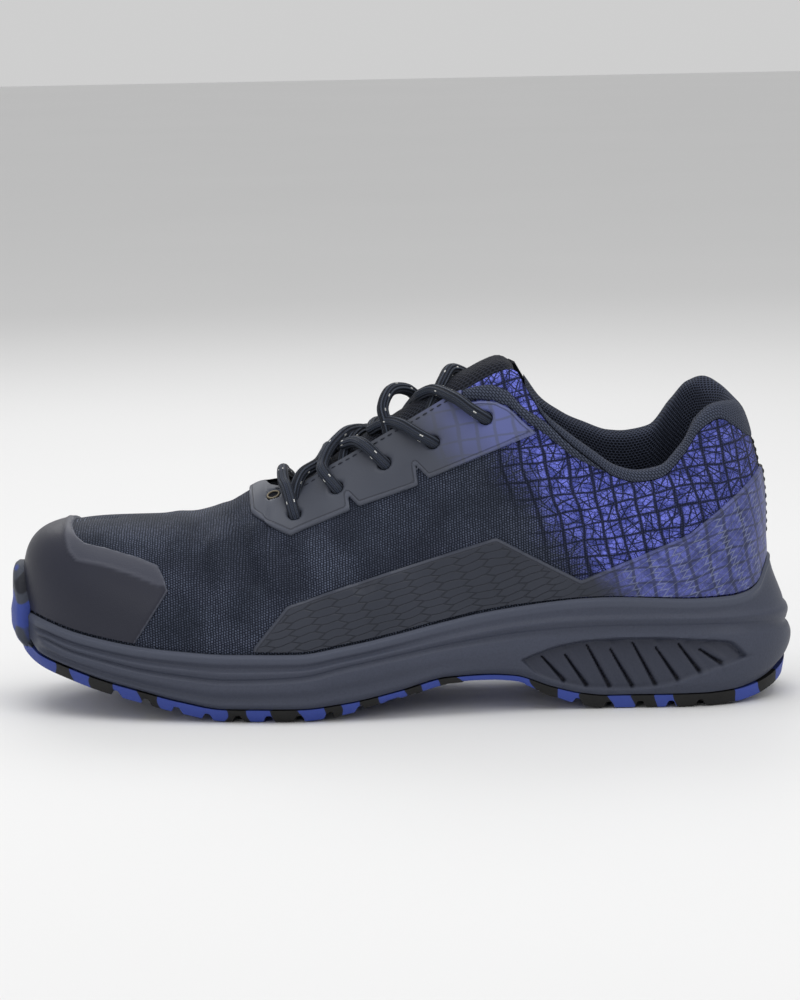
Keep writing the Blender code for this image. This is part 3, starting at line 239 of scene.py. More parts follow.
TOP_LINE = table(
    "foot top gap width toe throat collar tab rise roll",
    (0.000, 0.135, 0.00, 0.000, 1.000, 0.000, 0.000, 0.000, 0.0, 0.0),
    (0.050, 0.148, 0.00, 0.000, 1.010, 0.000, 0.000, 0.000, 0.0, 0.0),
    (0.110, 0.172, 0.00, 0.000, 1.016, 0.000, 0.000, 0.000, 0.0, 0.0),
    (0.180, 0.212, 0.00, 0.000, 1.022, 0.000, 0.000, 0.000, 0.0, 0.0),
    (0.240, 0.256, 0.00, 0.000, 1.052, 0.000, 0.000, 0.000, 0.0, 0.0),
    (0.290, 0.296, 0.00, 0.000, 1.122, 0.000, 0.000, 0.000, 0.0, 0.0),
    (0.325, 0.330, 0.00, 0.000, 1.190, 0.000, 0.000, 0.000, 0.0, 0.0),
    (0.340, 0.342, 0.25, 0.000, 1.182, 0.000, 0.000, 0.000, 0.0, 0.0),
    (0.362, 0.362, 0.37, 0.000, 0.000, 0.646, 0.000, 0.000, 0.0, 0.0),
    (0.420, 0.420, 0.45, 0.000, 0.000, 0.718, 0.000, 0.000, 0.0, 0.0),
    (0.515, 0.515, 0.50, 0.000, 0.000, 0.846, 0.000, 0.000, 0.0, 0.0),
    (0.580, 0.582, 0.51, 0.000, 0.000, 0.936, 0.000, 0.000, 0.0, 0.0),
    (0.636, 0.647, 0.54, 0.000, 0.000, 1.000, 0.000, 0.000, 0.0, 0.0),
    (0.652, 0.664, 0.00, 0.205, 0.000, 0.000, 1.400, 0.000, 0.0, 0.3),
    (0.676, 0.686, 0.00, 0.242, 0.000, 0.000, 1.270, 0.000, 0.05, 0.6),
    (0.706, 0.714, 0.00, 0.276, 0.000, 0.000, 1.170, 0.000, 0.15, 0.9),
    (0.738, 0.744, 0.00, 0.300, 0.000, 0.000, 1.088, 0.000, 0.45, 1.0),
    (0.770, 0.773, 0.00, 0.314, 0.000, 0.000, 1.021, 0.000, 0.80, 1.0),
    (0.800, 0.798, 0.00, 0.318, 0.000, 0.000, 1.000, 0.000, 1.0, 1.0),
    (0.832, 0.827, 0.00, 0.312, 0.000, 0.000, 1.014, 0.000, 1.10, 1.0),
    (0.868, 0.855, 0.00, 0.292, 0.000, 0.000, 1.100, 0.000, 1.45, 1.0),
    (0.905, 0.881, 0.00, 0.262, 0.000, 0.000, 0.000, 0.970, 1.05, 1.1),
    (0.940, 0.905, 0.00, 0.218, 0.000, 0.000, 0.000, 1.000, 0.80, 1.3),
    (0.965, 0.924, 0.00, 0.170, 0.000, 0.000, 0.000, 0.968, 0.5, 2.1),
    (0.986, 0.941, 0.00, 0.105, 0.000, 0.000, 0.000, 0.928, 0.2, 2.9),
    (1.000, 0.952, 0.00, 0.000, 0.000, 0.000, 0.000, 0.905, 0.0, 3.3),
)
THROAT_FRONT, QUARTER_CORNER, COLLAR_START = 0.325, 0.636, 0.652
SECTION = table(
    "foot lift reach flare lean",
    (0.000, 0.58, 0.66, 1, 0),
    (0.060, 0.55, 0.62, 2, 0),
    (0.130, 0.48, 0.55, 3, 0),
    (0.200, 0.42, 0.48, 3, 0),
    (0.260, 0.38, 0.43, 2, 2),
    (0.325, 0.36, 0.40, 1, 12),
    (0.362, 0.35, 0.37, 0, 27),
    (0.420, 0.34, 0.34, -1, 38),
    (0.515, 0.33, 0.30, -1, 48),
    (0.580, 0.33, 0.28, 1, 54),
    (0.636, 0.33, 0.28, 4, 62),
    (0.700, 0.33, 0.30, 8, 76),
    (0.800, 0.33, 0.33, 10, 81),
    (0.900, 0.33, 0.33, 9, 80),
    (0.960, 0.33, 0.33, 5, 76),
    (1.000, 0.33, 0.33, 1, 72),
)
TONGUE = table(
    "foot crown",
    (0.290, -0.0060),
    (0.340, -0.0040),
    (0.362, -0.0020),
    (0.420, 0.0030),
    (0.515, 0.0055),
    (0.590, 0.0060),
    (0.615, 0.0050),
    (0.636, 0.0010),
)
PAD = table(
    "depth thick",
    (0.14, 1.00),
    (0.40, 0.95),
    (0.72, 0.70),
    (1.00, 0.25),
)
for row in TOP_LINE:
    row["half"] = row["gap"] * THROAT_GAP + row["width"] * BALL_WIDTH
    row["height"] = (
        row["toe"] * TOE_BOX_HEIGHT
        + row["throat"] * THROAT_TOP_HEIGHT
        + row["collar"] * COLLAR_HEIGHT
        + row["tab"] * HEEL_TAB_HEIGHT
    )

# %% Curves through the tables


@lru_cache(maxsize=None)
def knots(rows_id, name):
    rows = ALL_TABLES[rows_id]
    key = next(iter(rows[0]))
    xs = [row[key] for row in rows]
    ys = [row[name] for row in rows]
    secants = [(b - a) / (d - c) for a, b, c, d in zip(ys, ys[1:], xs, xs[1:])]
    slopes = [secants[0]]
    for before, after in zip(secants, secants[1:]):
        same_way = before * after > 0
        slopes.append(2 * before * after / (before + after) if same_way else 0.0)
    slopes.append(secants[-1])
    return xs, ys, slopes


def along(rows, at, name):
    """A column of a table at a station: smooth, and never past its rows."""
    xs, ys, slopes = knots(id(rows), name)
    at = min(max(at, xs[0]), xs[-1])
    i = 0
    while i < len(xs) - 2 and at > xs[i + 1]:
        i += 1
    width = xs[i + 1] - xs[i]
    t = (at - xs[i]) / width
    return (
        ys[i] * (1 + 2 * t) * (1 - t) ** 2
        + slopes[i] * width * t * (1 - t) ** 2
        + ys[i + 1] * t * t * (3 - 2 * t)
        + slopes[i + 1] * width * t * t * (t - 1)
    )


def blend(low, high, at):
    t = min(max((at - low) / (high - low), 0.0), 1.0)
    return t * t * (3 - 2 * t)


ALL_TABLES = {
    id(rows): rows for rows in (PLAN, SOLE, TOP_LINE, SECTION, TONGUE, PAD, WINDOW)
}

# %% The outline in plan


def fan(u):
    """Station and fullness at u, a share of the outline from toe tip to heel."""
    if u < TOE_TURN:
        angle = u / TOE_TURN * math.pi / 2
        full = math.sin(angle) ** (2 / TOE_POWER)
        return TOE_ROUND * (1 - max(math.cos(angle), 0) ** (2 / TOE_POWER)), full
    if u > HEEL_TURN:
        angle = (1 - u) / (1 - HEEL_TURN) * math.pi / 2
        full = max(math.sin(angle), 0) ** (2 / HEEL_POWER)
        behind = HEEL_ROUND * (1 - max(math.cos(angle), 0) ** (2 / HEEL_POWER))
        return 1 - behind, full
    share = (u - TOE_TURN) / (HEEL_TURN - TOE_TURN)
    return TOE_ROUND + share * (1 - TOE_ROUND - HEEL_ROUND), 1.0


def at_station(station):
    if station < TOE_ROUND:
        angle = math.acos((1 - station / TOE_ROUND) ** (TOE_POWER / 2))
        return angle / (math.pi / 2) * TOE_TURN
    if station > 1 - HEEL_ROUND:
        angle = math.acos((1 - (1 - station) / HEEL_ROUND) ** (HEEL_POWER / 2))
        return 1 - angle / (math.pi / 2) * (1 - HEEL_TURN)
    share = (station - TOE_ROUND) / (1 - TOE_ROUND - HEEL_ROUND)
    return TOE_TURN + share * (HEEL_TURN - TOE_TURN)


@lru_cache(maxsize=None)
def edge(u, side):
    station, full = fan(u)
    share = along(PLAN, station, "lateral" if side == LATERAL else "medial")
    y = BALL_WIDTH * (along(PLAN, station, "centre") + side * share * full)
    return Vector(((station - 0.5) * SHOE_LENGTH, y))


@lru_cache(maxsize=None)
def outward(u, side):
    if u <= 0:
        return Vector((-1, 0))
    if u >= 1:
        return Vector((1, 0))
    step = min(1e-3, u, 1 - u)
    way = (edge(u + step, side) - edge(u - step, side)).normalized()
    return Vector((-side * way.y, side * way.x))


def rim(u, side, inset):
    return edge(u, side) - outward(u, side) * inset


def station_of(x):
    return x / SHOE_LENGTH + 0.5


def centre_y(station):
    return BALL_WIDTH * along(PLAN, station, "centre")


def tread(x):
    at = station_of(x)
    return (
        along(SOLE, at, "spring") * TOE_SPRING
        + along(SOLE, at, "arch") * ARCH_RISE
        + along(SOLE, at, "bevel") * HEEL_BEVEL
    )


def tread_band(x):
    return OUTSOLE_BAND * (1 - ARCH_THIN * along(SOLE, station_of(x), "arch"))


def bed(x):
    return along(SOLE, station_of(x), "bed") * HEEL_STACK


def lip(u):
    return along(SOLE, fan(u)[0], "lip") * HEEL_STACK


def lip_inset(u):
    return along(SOLE, fan(u)[0], "draw") * LIP_INSET


ARC_STEPS = 2000
ARC = {LATERAL: [0.0], MEDIAL: [0.0]}
for way in ARC:
    for k in range(ARC_STEPS):
        step = (edge((k + 1) / ARC_STEPS, way) - edge(k / ARC_STEPS, way)).length
        ARC[way].append(ARC[way][-1] + step)


def arc(u, side):
    """Distance along the outline from the toe tip."""
    at = min(max(u, 0.0), 1.0) * ARC_STEPS
    k = min(int(at), ARC_STEPS - 1)
    return ARC[side][k] + (ARC[side][k + 1] - ARC[side][k]) * (at - k)


def toe_recess(u, side):
    """How far the sole steps back at the tip, where the rubber lies on it."""
    seat = BUMPER_THICKNESS + CLEARANCE
    reach = arc(u, side)
    return seat * (1 - blend(1.1 * BUMPER_HALF_WIDTH, 1.9 * BUMPER_HALF_WIDTH, reach))


print("outline:", round(sum(ARC[way][-1] for way in ARC) * 1000), "mm round")

# %% [markdown]
# ## The last
#
# A section of the upper is one smooth curve from the sole's lip to the top line: it
# leaves the sole nearly upright and comes in over the foot. `skin` gives a point of
# it and `skin_normal` the way out. Soft creases are laid over it as troughs and
# ridges, each given with its ends, depth and width.

# %% Sections of the upper


@lru_cache(maxsize=None)
def guides(u, side):
    station = fan(u)[0]
    out = outward(u, side).to_3d()
    low = rim(u, side, LIP_INSET + LIP_THICKNESS + CLEARANCE)
    foot = Vector((low.x, low.y, bed(low.x) + CLEARANCE))
    start = rim(u, side, lip_inset(u) + LIP_THICKNESS + CLEARANCE).to_3d()
    start.z = lip(u) + CLEARANCE
    top_at = along(TOP_LINE, station, "top")
    rise = along(TOP_LINE, station, "rise") * COLLAR_MEDIAL_RISE
    top = Vector((
        (top_at - 0.5) * SHOE_LENGTH,
        centre_y(top_at) + side * along(TOP_LINE, station, "half"),
        along(TOP_LINE, station, "height") + (rise if side == MEDIAL else 0.0),
    ))
    flat = (top - start) * Vector((1, 1, 0))
    inward = -out.lerp(-flat.normalized(), min(flat.length / 0.020, 1.0))
    inward.normalize()
    flare = math.radians(along(SECTION, station, "flare"))
    lean = math.radians(along(SECTION, station, "lean"))
    span = (top - start).length
    up = Vector((0, 0, 1))
    lift = span * along(SECTION, station, "lift")
    reach = span * along(SECTION, station, "reach")
    lower = start + (up * math.cos(flare) + out * math.sin(flare)) * lift
    upper = top - (inward * math.cos(lean) + up * math.sin(lean)) * reach
    return foot, start, lower, upper, top


@lru_cache(maxsize=None)
def skin(u, side, v):
    """v runs from 0 at the lip to 1 at the top line, and from -1 to 0 inside the lip."""
    foot, start, lower, upper, top = guides(u, side)
    if v < 0:
        return start.lerp(foot, -v)
    w = 1 - v
    return (
        start * w**3 + lower * (3 * w * w * v) + upper * (3 * w * v * v) + top * v**3
    )


@lru_cache(maxsize=None)
def skin_normal(u, side, v):
    if v <= -1:
        return outward(u, side).to_3d()
    step = 2e-3
    if u < step:
        level = skin(step, MEDIAL, v) - skin(step, LATERAL, v)
    elif u > 1 - step:
        level = skin(1 - step, MEDIAL, v) - skin(1 - step, LATERAL, v)
    else:
        level = skin(u + step, side, v) - skin(u - step, side, v)
    low, high = (-1, -0.5) if v < 0 else (max(v - step, -0.05), min(v + step, 1))
    rise = skin(u, side, high) - skin(u, side, low)
    normal = level.cross(rise).normalized()
    way = outward(u, side).to_3d() + Vector((0, 0, 1))
    return normal if normal.dot(way) > 0 else -normal


def on_ridge(u, v):
    return v >= 1 and fan(u)[0] <= THROAT_FRONT + 1e-6


# %% Creases
# Both ends as station and height in millimetres, then depth and half width, also in
# millimetres. A minus depth is a ridge.
CREASES = table(
    "at_a up_a at_b up_b deep wide",
    (0.290, 74, 0.318, 52, 2.5, 3.0),
    (0.268, 64, 0.286, 42, -1.5, 3.6),
    (0.325, 69, 0.346, 50, -2.0, 3.4),
    (0.356, 64, 0.378, 48, 1.7, 3.2),
    (0.388, 64, 0.406, 50, -1.3, 3.4),
    (0.428, 64, 0.452, 50, 1.8, 3.2),
    (0.244, 68, 0.258, 44, 1.4, 3.8),
    (0.216, 69, 0.230, 50, -1.0, 3.8),
    (0.470, 70, 0.505, 57, 1.0, 4.4),
    (0.560, 84, 0.640, 70, 0.6, 5.0),
    (0.900, 84, 0.950, 60, 0.4, 5.0),
)


def crease(place, side):
    total = 0.0
    for row in CREASES:
        a = Vector(((row["at_a"] - 0.5) * SHOE_LENGTH, row["up_a"] / 1000))
        b = Vector(((row["at_b"] - 0.5) * SHOE_LENGTH, row["up_b"] / 1000))
        spot = Vector((place.x, place.z))
        share = min(max((spot - a).dot(b - a) / (b - a).length_squared, 0), 1)
        far = (spot - a.lerp(b, share)).length / (row["wide"] / 1000)
        if far < 3:
            total += row["deep"] / 1000 * math.exp(-far * far)
    slow = noise.noise(Vector((place.x * 38, place.y * 38 + side, place.z * 38)))
    return total * (0.6 if side == MEDIAL else 1.0) + 0.00022 * slow


@lru_cache(maxsize=None)
def offset(u, side, v, distance):
    """A point at a distance from the upper's outer surface, creases included."""
    normal = skin_normal(u, side, v)
    if on_ridge(u, v):
        normal = (normal + skin_normal(u, -side, v)).normalized()
    base = skin(u, side, v)
    if v > 0.02:
        fade = blend(0.02, 0.18, v)
        distance -= crease(base, 0 if on_ridge(u, v) else side) * fade
    return base + normal * distance


@lru_cache(maxsize=None)
def climb(u, side):
    """Lengths up a section, at 41 even steps of v."""
    found = [0.0]
    for k in range(40):
        step = (skin(u, side, (k + 1) / 40) - skin(u, side, k / 40)).length
        found.append(found[-1] + step)
    return found


def lay(u, side, v):
    """Cloth coordinates in metres: along the shoe and up the section."""
    base = skin(u, side, v)
    round_heel = max(arc(u, side) - arc(HEEL_TURN, side), 0.0)
    level = max(edge(u, side).x - edge(HEEL_TURN, side).x, 0.0)
    run = base.x + round_heel - level
    at = min(max(v, 0.0), 1.0) * 40
    k = min(int(at), 39)
    heights = climb(u, side)
    up = heights[k] + (heights[k + 1] - heights[k]) * (at - k) + lip(u)
    return Vector((run, up, side))


# %% [markdown]
# ## Mesh building
#
# A `Form` keeps points by name, so faces that meet share them, and writes one mesh
# with its cloth coordinates as an attribute for the materials.

# %% Mesh helpers


class Form:
    def __init__(self):
        self.places, self.lays, self.index, self.faces = [], [], {}, []

    def point(self, name, place, laid=(0, 0, 0)):
        if name not in self.index:
            self.index[name] = len(self.places)
            self.places.append(Vector(place))
            self.lays.append(laid)
        return self.index[name]

    def quad(self, a, b, c, d, slot=0):
        face = []
        for corner in (a, b, c, d):
            if corner not in face:
                face.append(corner)
        if len(face) > 2:
            self.faces.append((tuple(face), slot))

    def walls(self, rings, closed=True, slot=0):
        for lower, upper in zip(rings, rings[1:]):
            for k in range(0 if closed else 1, len(lower)):
                self.quad(lower[k - 1], lower[k], upper[k], upper[k - 1], slot)

    def cap(self, ring, slot=0):
        """A cap across a ring, as rungs between its two halves."""
        count = len(ring)
        for k in range((count - 1) // 2):
            self.quad(ring[k], ring[k + 1], ring[-(k + 2)], ring[-(k + 1)], slot)

    def build(self, name, materials, angle=40):
        shape = bmesh.new()
        corners = [shape.verts.new(place) for place in self.places]
        for face, slot in self.faces:
            try:
                made = shape.faces.new([corners[k] for k in face])
                made.material_index = slot
            except ValueError:
                pass
        bmesh.ops.recalc_face_normals(shape, faces=shape.faces)
        mesh = bpy.data.meshes.new(name)
        shape.to_mesh(mesh)
        shape.free()
        laid = mesh.attributes.new("lay", "FLOAT_VECTOR", "POINT")
        laid.data.foreach_set("vector", [c for spot in self.lays for c in spot])
        for look in materials:
            mesh.materials.append(look)
        mesh.shade_smooth()
        if angle < 180:
            mesh.set_sharp_from_angle(angle=math.radians(angle))
        piece = bpy.data.objects.new(name, mesh)
        bpy.context.scene.collection.objects.link(piece)
        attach(piece, "root")
        print(name, len(mesh.polygons), "faces")
        return piece


def even_us(spacing, extra=()):
    """Shares of the outline at an even spacing in metres, finer in (from, to, spacing)."""
    total = ARC[LATERAL][-1]
    found, u = [], 0.0
    while u < 1:
        found.append(u)
        station = fan(u)[0]
        here = spacing
        for start, end, fine in extra:
            if start <= station <= end:
                here = min(here, fine)
        step = 1e-4
        speed = (arc(min(u + step, 1), LATERAL) - arc(max(u - step, 0), LATERAL)) / (
            min(u + step, 1) - max(u - step, 0)
        )
        u += here / max(speed, total * 0.5)
    if 1 - found[-1] < 0.3 * spacing / total:
        found.pop()
    return found + [1.0]


# %% [markdown]
# ## Materials
#
# Shader maths is written as ordinary expressions: a `Value` stands for one socket,
# and sums, products and comparisons of values write the Math nodes. `Look` keeps
# one material's graph.

# %% Shader expressions


class Value:
    def __init__(self, look, socket):
        self.look, self.socket = look, socket

    def maths(self, kind, *others, clamp=False):
        return self.look.maths(kind, self, *others, clamp=clamp)

    def __add__(self, other):
        return self.maths("ADD", other)

    def __radd__(self, other):
        return self.look.maths("ADD", other, self)

    def __sub__(self, other):
        return self.maths("SUBTRACT", other)

    def __rsub__(self, other):
        return self.look.maths("SUBTRACT", other, self)

    def __mul__(self, other):
        return self.maths("MULTIPLY", other)

    def __rmul__(self, other):
        return self.look.maths("MULTIPLY", other, self)

    def __truediv__(self, other):
        return self.maths("DIVIDE", other)

    def __gt__(self, other):
        return self.maths("GREATER_THAN", other)

    def __lt__(self, other):
        return self.maths("LESS_THAN", other)

    def sin(self):
        return self.maths("SINE")

    def abs(self):
        return self.maths("ABSOLUTE")

    def floor(self):
        return self.maths("FLOOR")

    def fract(self):
        return self.maths("FRACT")

    def min(self, other):
        return self.maths("MINIMUM", other)

    def max(self, other):
        return self.maths("MAXIMUM", other)

    def clamp(self):
        return self.maths("ADD", 0.0, clamp=True)

    def ramp(self, low, high):
        """0 at low, 1 at high and smooth between."""
        return self.look.node(
            "ShaderNodeMapRange",
            {"interpolation_type": "SMOOTHSTEP"},
            {"Value": self, "From Min": low, "From Max": high, "To Min": 0.0, "To Max": 1.0},
            "Result",
        )


class Look:
    def __init__(self, name):
        self.material = bpy.data.materials.new(name)
        self.material.use_nodes = True
        self.tree = self.material.node_tree
        self.surface = self.tree.nodes["Principled BSDF"]

    def node(self, kind, settings, values, output=0):
        made = self.tree.nodes.new(kind)
        for name, value in settings.items():
            setattr(made, name, value)
        for name, value in values.items():
            self.feed(made.inputs[name], value)
        return Value(self, made.outputs[output])

    def feed(self, socket, value):
        if isinstance(value, Value):
            self.tree.links.new(value.socket, socket)
        elif isinstance(value, (tuple, list)) and socket.type == "RGBA":
            socket.default_value = (*value[:3], 1.0)
        else:
            socket.default_value = value

    def maths(self, kind, *values, clamp=False):
        settings = {"operation": kind, "use_clamp": clamp}
        return self.node("ShaderNodeMath", settings, dict(enumerate(values)))

    def mix(self, share, a, b):
        made = self.tree.nodes.new("ShaderNodeMix")
        made.data_type = "RGBA"
        for socket, value in zip((made.inputs[0], made.inputs[6], made.inputs[7]), (share, a, b)):
            self.feed(socket, value)
        return Value(self, made.outputs[2])

    def join(self, x, y, z=0.0):
        return self.node("ShaderNodeCombineXYZ", {}, {0: x, 1: y, 2: z})

    def split(self, vector):
        made = self.tree.nodes.new("ShaderNodeSeparateXYZ")
        self.feed(made.inputs[0], vector)
        return [Value(self, made.outputs[k]) for k in range(3)]

    def laid(self):
        return self.node("ShaderNodeAttribute", {"attribute_name": "lay"}, {}, "Vector")

    def place(self):
        return self.node("ShaderNodeTexCoord", {}, {}, "Object")

    def noise(self, vector, scale, detail=2.0, rough=0.5, output="Fac"):
        values = {"Vector": vector, "Scale": scale, "Detail": detail, "Roughness": rough}
        return self.node("ShaderNodeTexNoise", {}, values, output)

    def cells(self, vector, scale, feature="F1", output="Distance", chance=1.0):
        settings = {"feature": feature, "voronoi_dimensions": "2D"}
        values = {"Vector": vector, "Scale": scale, "Randomness": chance}
        return self.node("ShaderNodeTexVoronoi", settings, values, output)

    def finish(self, colour, roughness, height=None, deep=0.0003, sheen=0.0, coat=0.0, gloss=0.5):
        self.feed(self.surface.inputs["Base Color"], colour)
        self.feed(self.surface.inputs["Roughness"], roughness)
        self.feed(self.surface.inputs["Coat Weight"], coat)
        self.surface.inputs["Coat Roughness"].default_value = 0.35
        self.surface.inputs["Sheen Weight"].default_value = sheen
        self.surface.inputs["Sheen Roughness"].default_value = 0.5
        self.surface.inputs["Specular IOR Level"].default_value = gloss
        if height is not None:
            bump = self.tree.nodes.new("ShaderNodeBump")
            bump.inputs["Strength"].default_value = 1.0
            bump.inputs["Distance"].default_value = deep
            self.feed(bump.inputs["Height"], height)
            self.tree.links.new(bump.outputs["Normal"], self.surface.inputs["Normal"])
        return self.material


# %% [markdown]
# The cloth of the upper is a fine ripstop weave with light threads. Towards the heel
# a print shows on it: a warped grid of dark lines over bright blue, with finer
# cracks that cut each cell into triangles. The films laid over it are translucent,
# so they use the same print, paler.

# %% Cloth and print
NAVY = (0.0080, 0.011, 0.019)
THREAD = (0.096, 0.113, 0.170)
BRIGHT = (0.185, 0.215, 0.800)
DEEP = (0.070, 0.088, 0.400)
LINE = (0.003, 0.005, 0.014)
PRINT_AT = (0.0355, 0.104)


def weave(look, run, up, across=0.00100, high=0.00098):
    """Threads as short dashes in shifted rows, each a little lighter or darker."""
    warp = look.noise(look.join(run * 300, up * 300, 0.0), 1.0, 1.0) * 0.9
    at = run / across + warp
    row_at = up / high + at.floor() * 0.5 + run * 150 + warp
    a = (at.fract() - 0.5).abs()
    b = (row_at.fract() - 0.5).abs()
    chance = look.node("ShaderNodeTexWhiteNoise", {"noise_dimensions": "2D"},
                       {"Vector": look.join(at.floor(), row_at.floor())}, "Value")
    return (1.0 - (a * 2.3).max(b * 2.1)).ramp(0.02, 0.60) * (0.55 + chance * 0.60)


def printed(look, run, up):
    """Blue print: colour, darkened towards the heel as painted shade, how dark its lines are, and the grid
    alone.
    """
    warp = look.noise(look.join(run * 34, up * 34, 0.0), 1.0, 2.0)
    warp_up = look.noise(look.join(run * 30, up * 30, 5.0), 1.0, 2.0)
    across = run * 132 + up * 29 + (warp - 0.5) * 1.1
    rising = up * 152 - run * 23 + (warp_up - 0.5) * 1.2
    rough = look.noise(look.join(run, up, 0.0), 1500.0, 2.0)
    wide = 0.5 - (across.fract() - 0.5).abs() + (rough - 0.5) * 0.09
    tall = 0.5 - (rising.fract() - 0.5).abs() + (rough - 0.5) * 0.05
    bars = 1.0 - wide.ramp(0.050, 0.135) * tall.ramp(0.035, 0.105)
    fa, fr = across.fract() - 0.5, rising.fract() - 0.5
    tint = look.node("ShaderNodeTexWhiteNoise", {"noise_dimensions": "2D"},
                     {"Vector": look.join(across.floor(), rising.floor())}, "Color")
    open_cell = 1.0
    for chance, turn in zip(look.split(tint), (0.3, 1.35, 2.4)):
        angle = chance * 1.9 + turn
        far = fa * angle.sin() + fr * (angle + 1.571).sin() - (chance * 7.0).fract() * 0.36 + 0.18
        open_cell = far.abs().ramp(0.010, 0.055) * open_cell
    skewed = look.join(across + rising * 0.35, rising - across * 0.2)
    fine = look.cells(skewed, 2.6, "DISTANCE_TO_EDGE")
    finer = look.cells(look.join(rising, across), 4.7, "DISTANCE_TO_EDGE")
    cracks = 1.0 - open_cell * fine.ramp(0.005, 0.100) * finer.ramp(-0.005, 0.075)
    lines = bars.max(cracks * (0.60 + rough * 0.9)).clamp()
    patch = look.noise(look.join(run, up, 2.0), 230.0, 2.0)
    blue = look.mix(patch.ramp(0.34, 0.62), DEEP, BRIGHT)
    # Towards the heel the blue is mixed towards line colour: painted shade on the heel's curve.
    x, _, _ = look.split(look.place())
    blue = look.mix(x.ramp(0.085, 0.140) * 0.36, blue, LINE)
    return blue, lines, bars


def where_printed(look, run, up, start=-0.021, end=0.029):
    """The print shows from the quarter back, and fades out forward and downward."""
    slow = look.noise(look.join(run, up, 1.0), 55.0, 2.0)
    far = (run - PRINT_AT[0]) + (up - PRINT_AT[1]) * 0.64 + (slow - 0.5) * 0.016
    return far.ramp(start, end)


def heel_seam(look):
    """1 on the narrow back seam."""
    x, y, _ = look.split(look.place())
    return (y.abs() < 0.0042) * (x > 0.12)


def cloth_look():
    look = Look("upper cloth")
    run, up, _ = look.split(look.laid())
    threads = weave(look, run, up)
    grain = look.noise(look.join(run, up, 0.0), 2600.0, 1.0)
    # slow: broad darker and lighter patches in the cloth's colour, standing in for the shade and light of
    # soft folds: painted shade and painted light.
    slow = look.noise(look.place(), 46.0, 2.0).ramp(0.30, 0.70)
    dark = look.mix(threads * (0.15 + grain * 1.25) * (0.50 + slow * 0.75), NAVY, THREAD)
    blue, lines, bars = printed(look, run, up)
    shown = where_printed(look, run, up)
    inked = look.mix(lines * 0.96, blue, LINE)
    speck = (grain * 1.0 + threads * 0.45 - 0.60 + shown * 0.95).ramp(0.0, 0.50)
    fleck = look.mix(threads * grain * 0.25, inked, (0.16, 0.18, 0.33))
    dark = look.mix(bars * shown.ramp(0.0, 0.3) * 0.7, dark, LINE)
    colour = look.mix(shown.ramp(0.02, 0.85) * speck, dark, fleck)
    colour = look.mix(heel_seam(look), colour, (0.003, 0.003, 0.004))
    height = threads * 0.8 + grain * 0.5 - lines * shown * 0.4
    return look.finish(colour, 0.66 - threads * 0.10, height, 0.00022, sheen=0.02, gloss=0.10)


def border(look, inside):
    """The moulded border of a film: a groove a little inside its edge."""
    groove = 1.0 - (inside - 0.0013).abs().ramp(0.00008, 0.00036)
    strip = 1.0 - inside.ramp(0.0011, 0.0014)
    return groove, strip


def long_cells(look, run, up):
    """Distance to the edge of long six-sided cells that lie along the panel and
    turn up towards the heel."""
    rear = (run - 0.035).max(0.0)
    bend = look.noise(look.join(run, up, 0.0), 95.0, 1.0) * 0.0032
    along_it = (run + up * 0.45) / 0.0120
    across_it = (up + bend - run * 0.27 - rear * rear * 3.4) / 0.0030
    found = []
    for shift in (0.0, 0.5):
        x = ((across_it + shift).fract() - 0.5).abs()
        y = (((along_it + shift * 1.732) / 1.732).fract() - 0.5).abs() * 1.732
        found.append(0.5 - x.max(x * 0.5 + y * 0.866))
    return found[0].max(found[1])


def film_look(name, scales):
    """Translucent film: grey in front, with the print showing through behind."""
    look = Look(name)
    run, up, inside = look.split(look.laid())
    blue, lines, bars = printed(look, run, up)
    slow = look.noise(look.place(), 30.0, 3.0)
    fine = look.noise(look.place(), 1500.0, 2.0)
    groove, strip = border(look, inside)
    height = fine * 0.10 - groove * 0.8
    if scales:
        shown = where_printed(look, run, up, -0.001, 0.022)
        cell = long_cells(look, run, up)
        lit = run.ramp(0.050, 0.085)
        seam = (1.0 - cell.ramp(0.015, 0.085)) * inside.ramp(0.0014, 0.0022)
        ground = look.mix(slow, (0.024, 0.028, 0.040), (0.040, 0.045, 0.062))
        ground = look.mix(seam * 0.60, ground, (0.010, 0.012, 0.018))
        height = height + seam * (lit * 1.4 - 0.7)
        veil = look.mix((bars * 0.75).max(lines * 0.40), blue, LINE)
        through = look.mix(0.46, veil, (0.044, 0.052, 0.086))
        through = look.mix(seam * 0.50, through, (0.24, 0.27, 0.40))
        colour = look.mix(shown, ground, through)
    else:
        shown = where_printed(look, run, up, -0.028, 0.006)
        veil = look.mix(bars * 0.65, (0.094, 0.115, 0.390), (0.050, 0.058, 0.100))
        through = look.mix(0.48, veil, (0.120, 0.135, 0.215))
        pale = look.mix(slow, (0.040, 0.045, 0.062), (0.072, 0.080, 0.104))
        colour = look.mix(shown, pale, through)
    # The border's outer strip is painted lighter, a painted highlight on its raised edge; the groove is
    # painted darker, painted shade in it.
    colour = look.mix(strip * 0.22, colour, (0.110, 0.122, 0.165))
    colour = look.mix(groove * 0.45, colour, (0.016, 0.018, 0.026))
    colour = look.mix(heel_seam(look), colour, (0.003, 0.003, 0.004))
    return look.finish(colour, 0.38 + fine * 0.10, height, 0.00025, coat=0.0, gloss=0.24)


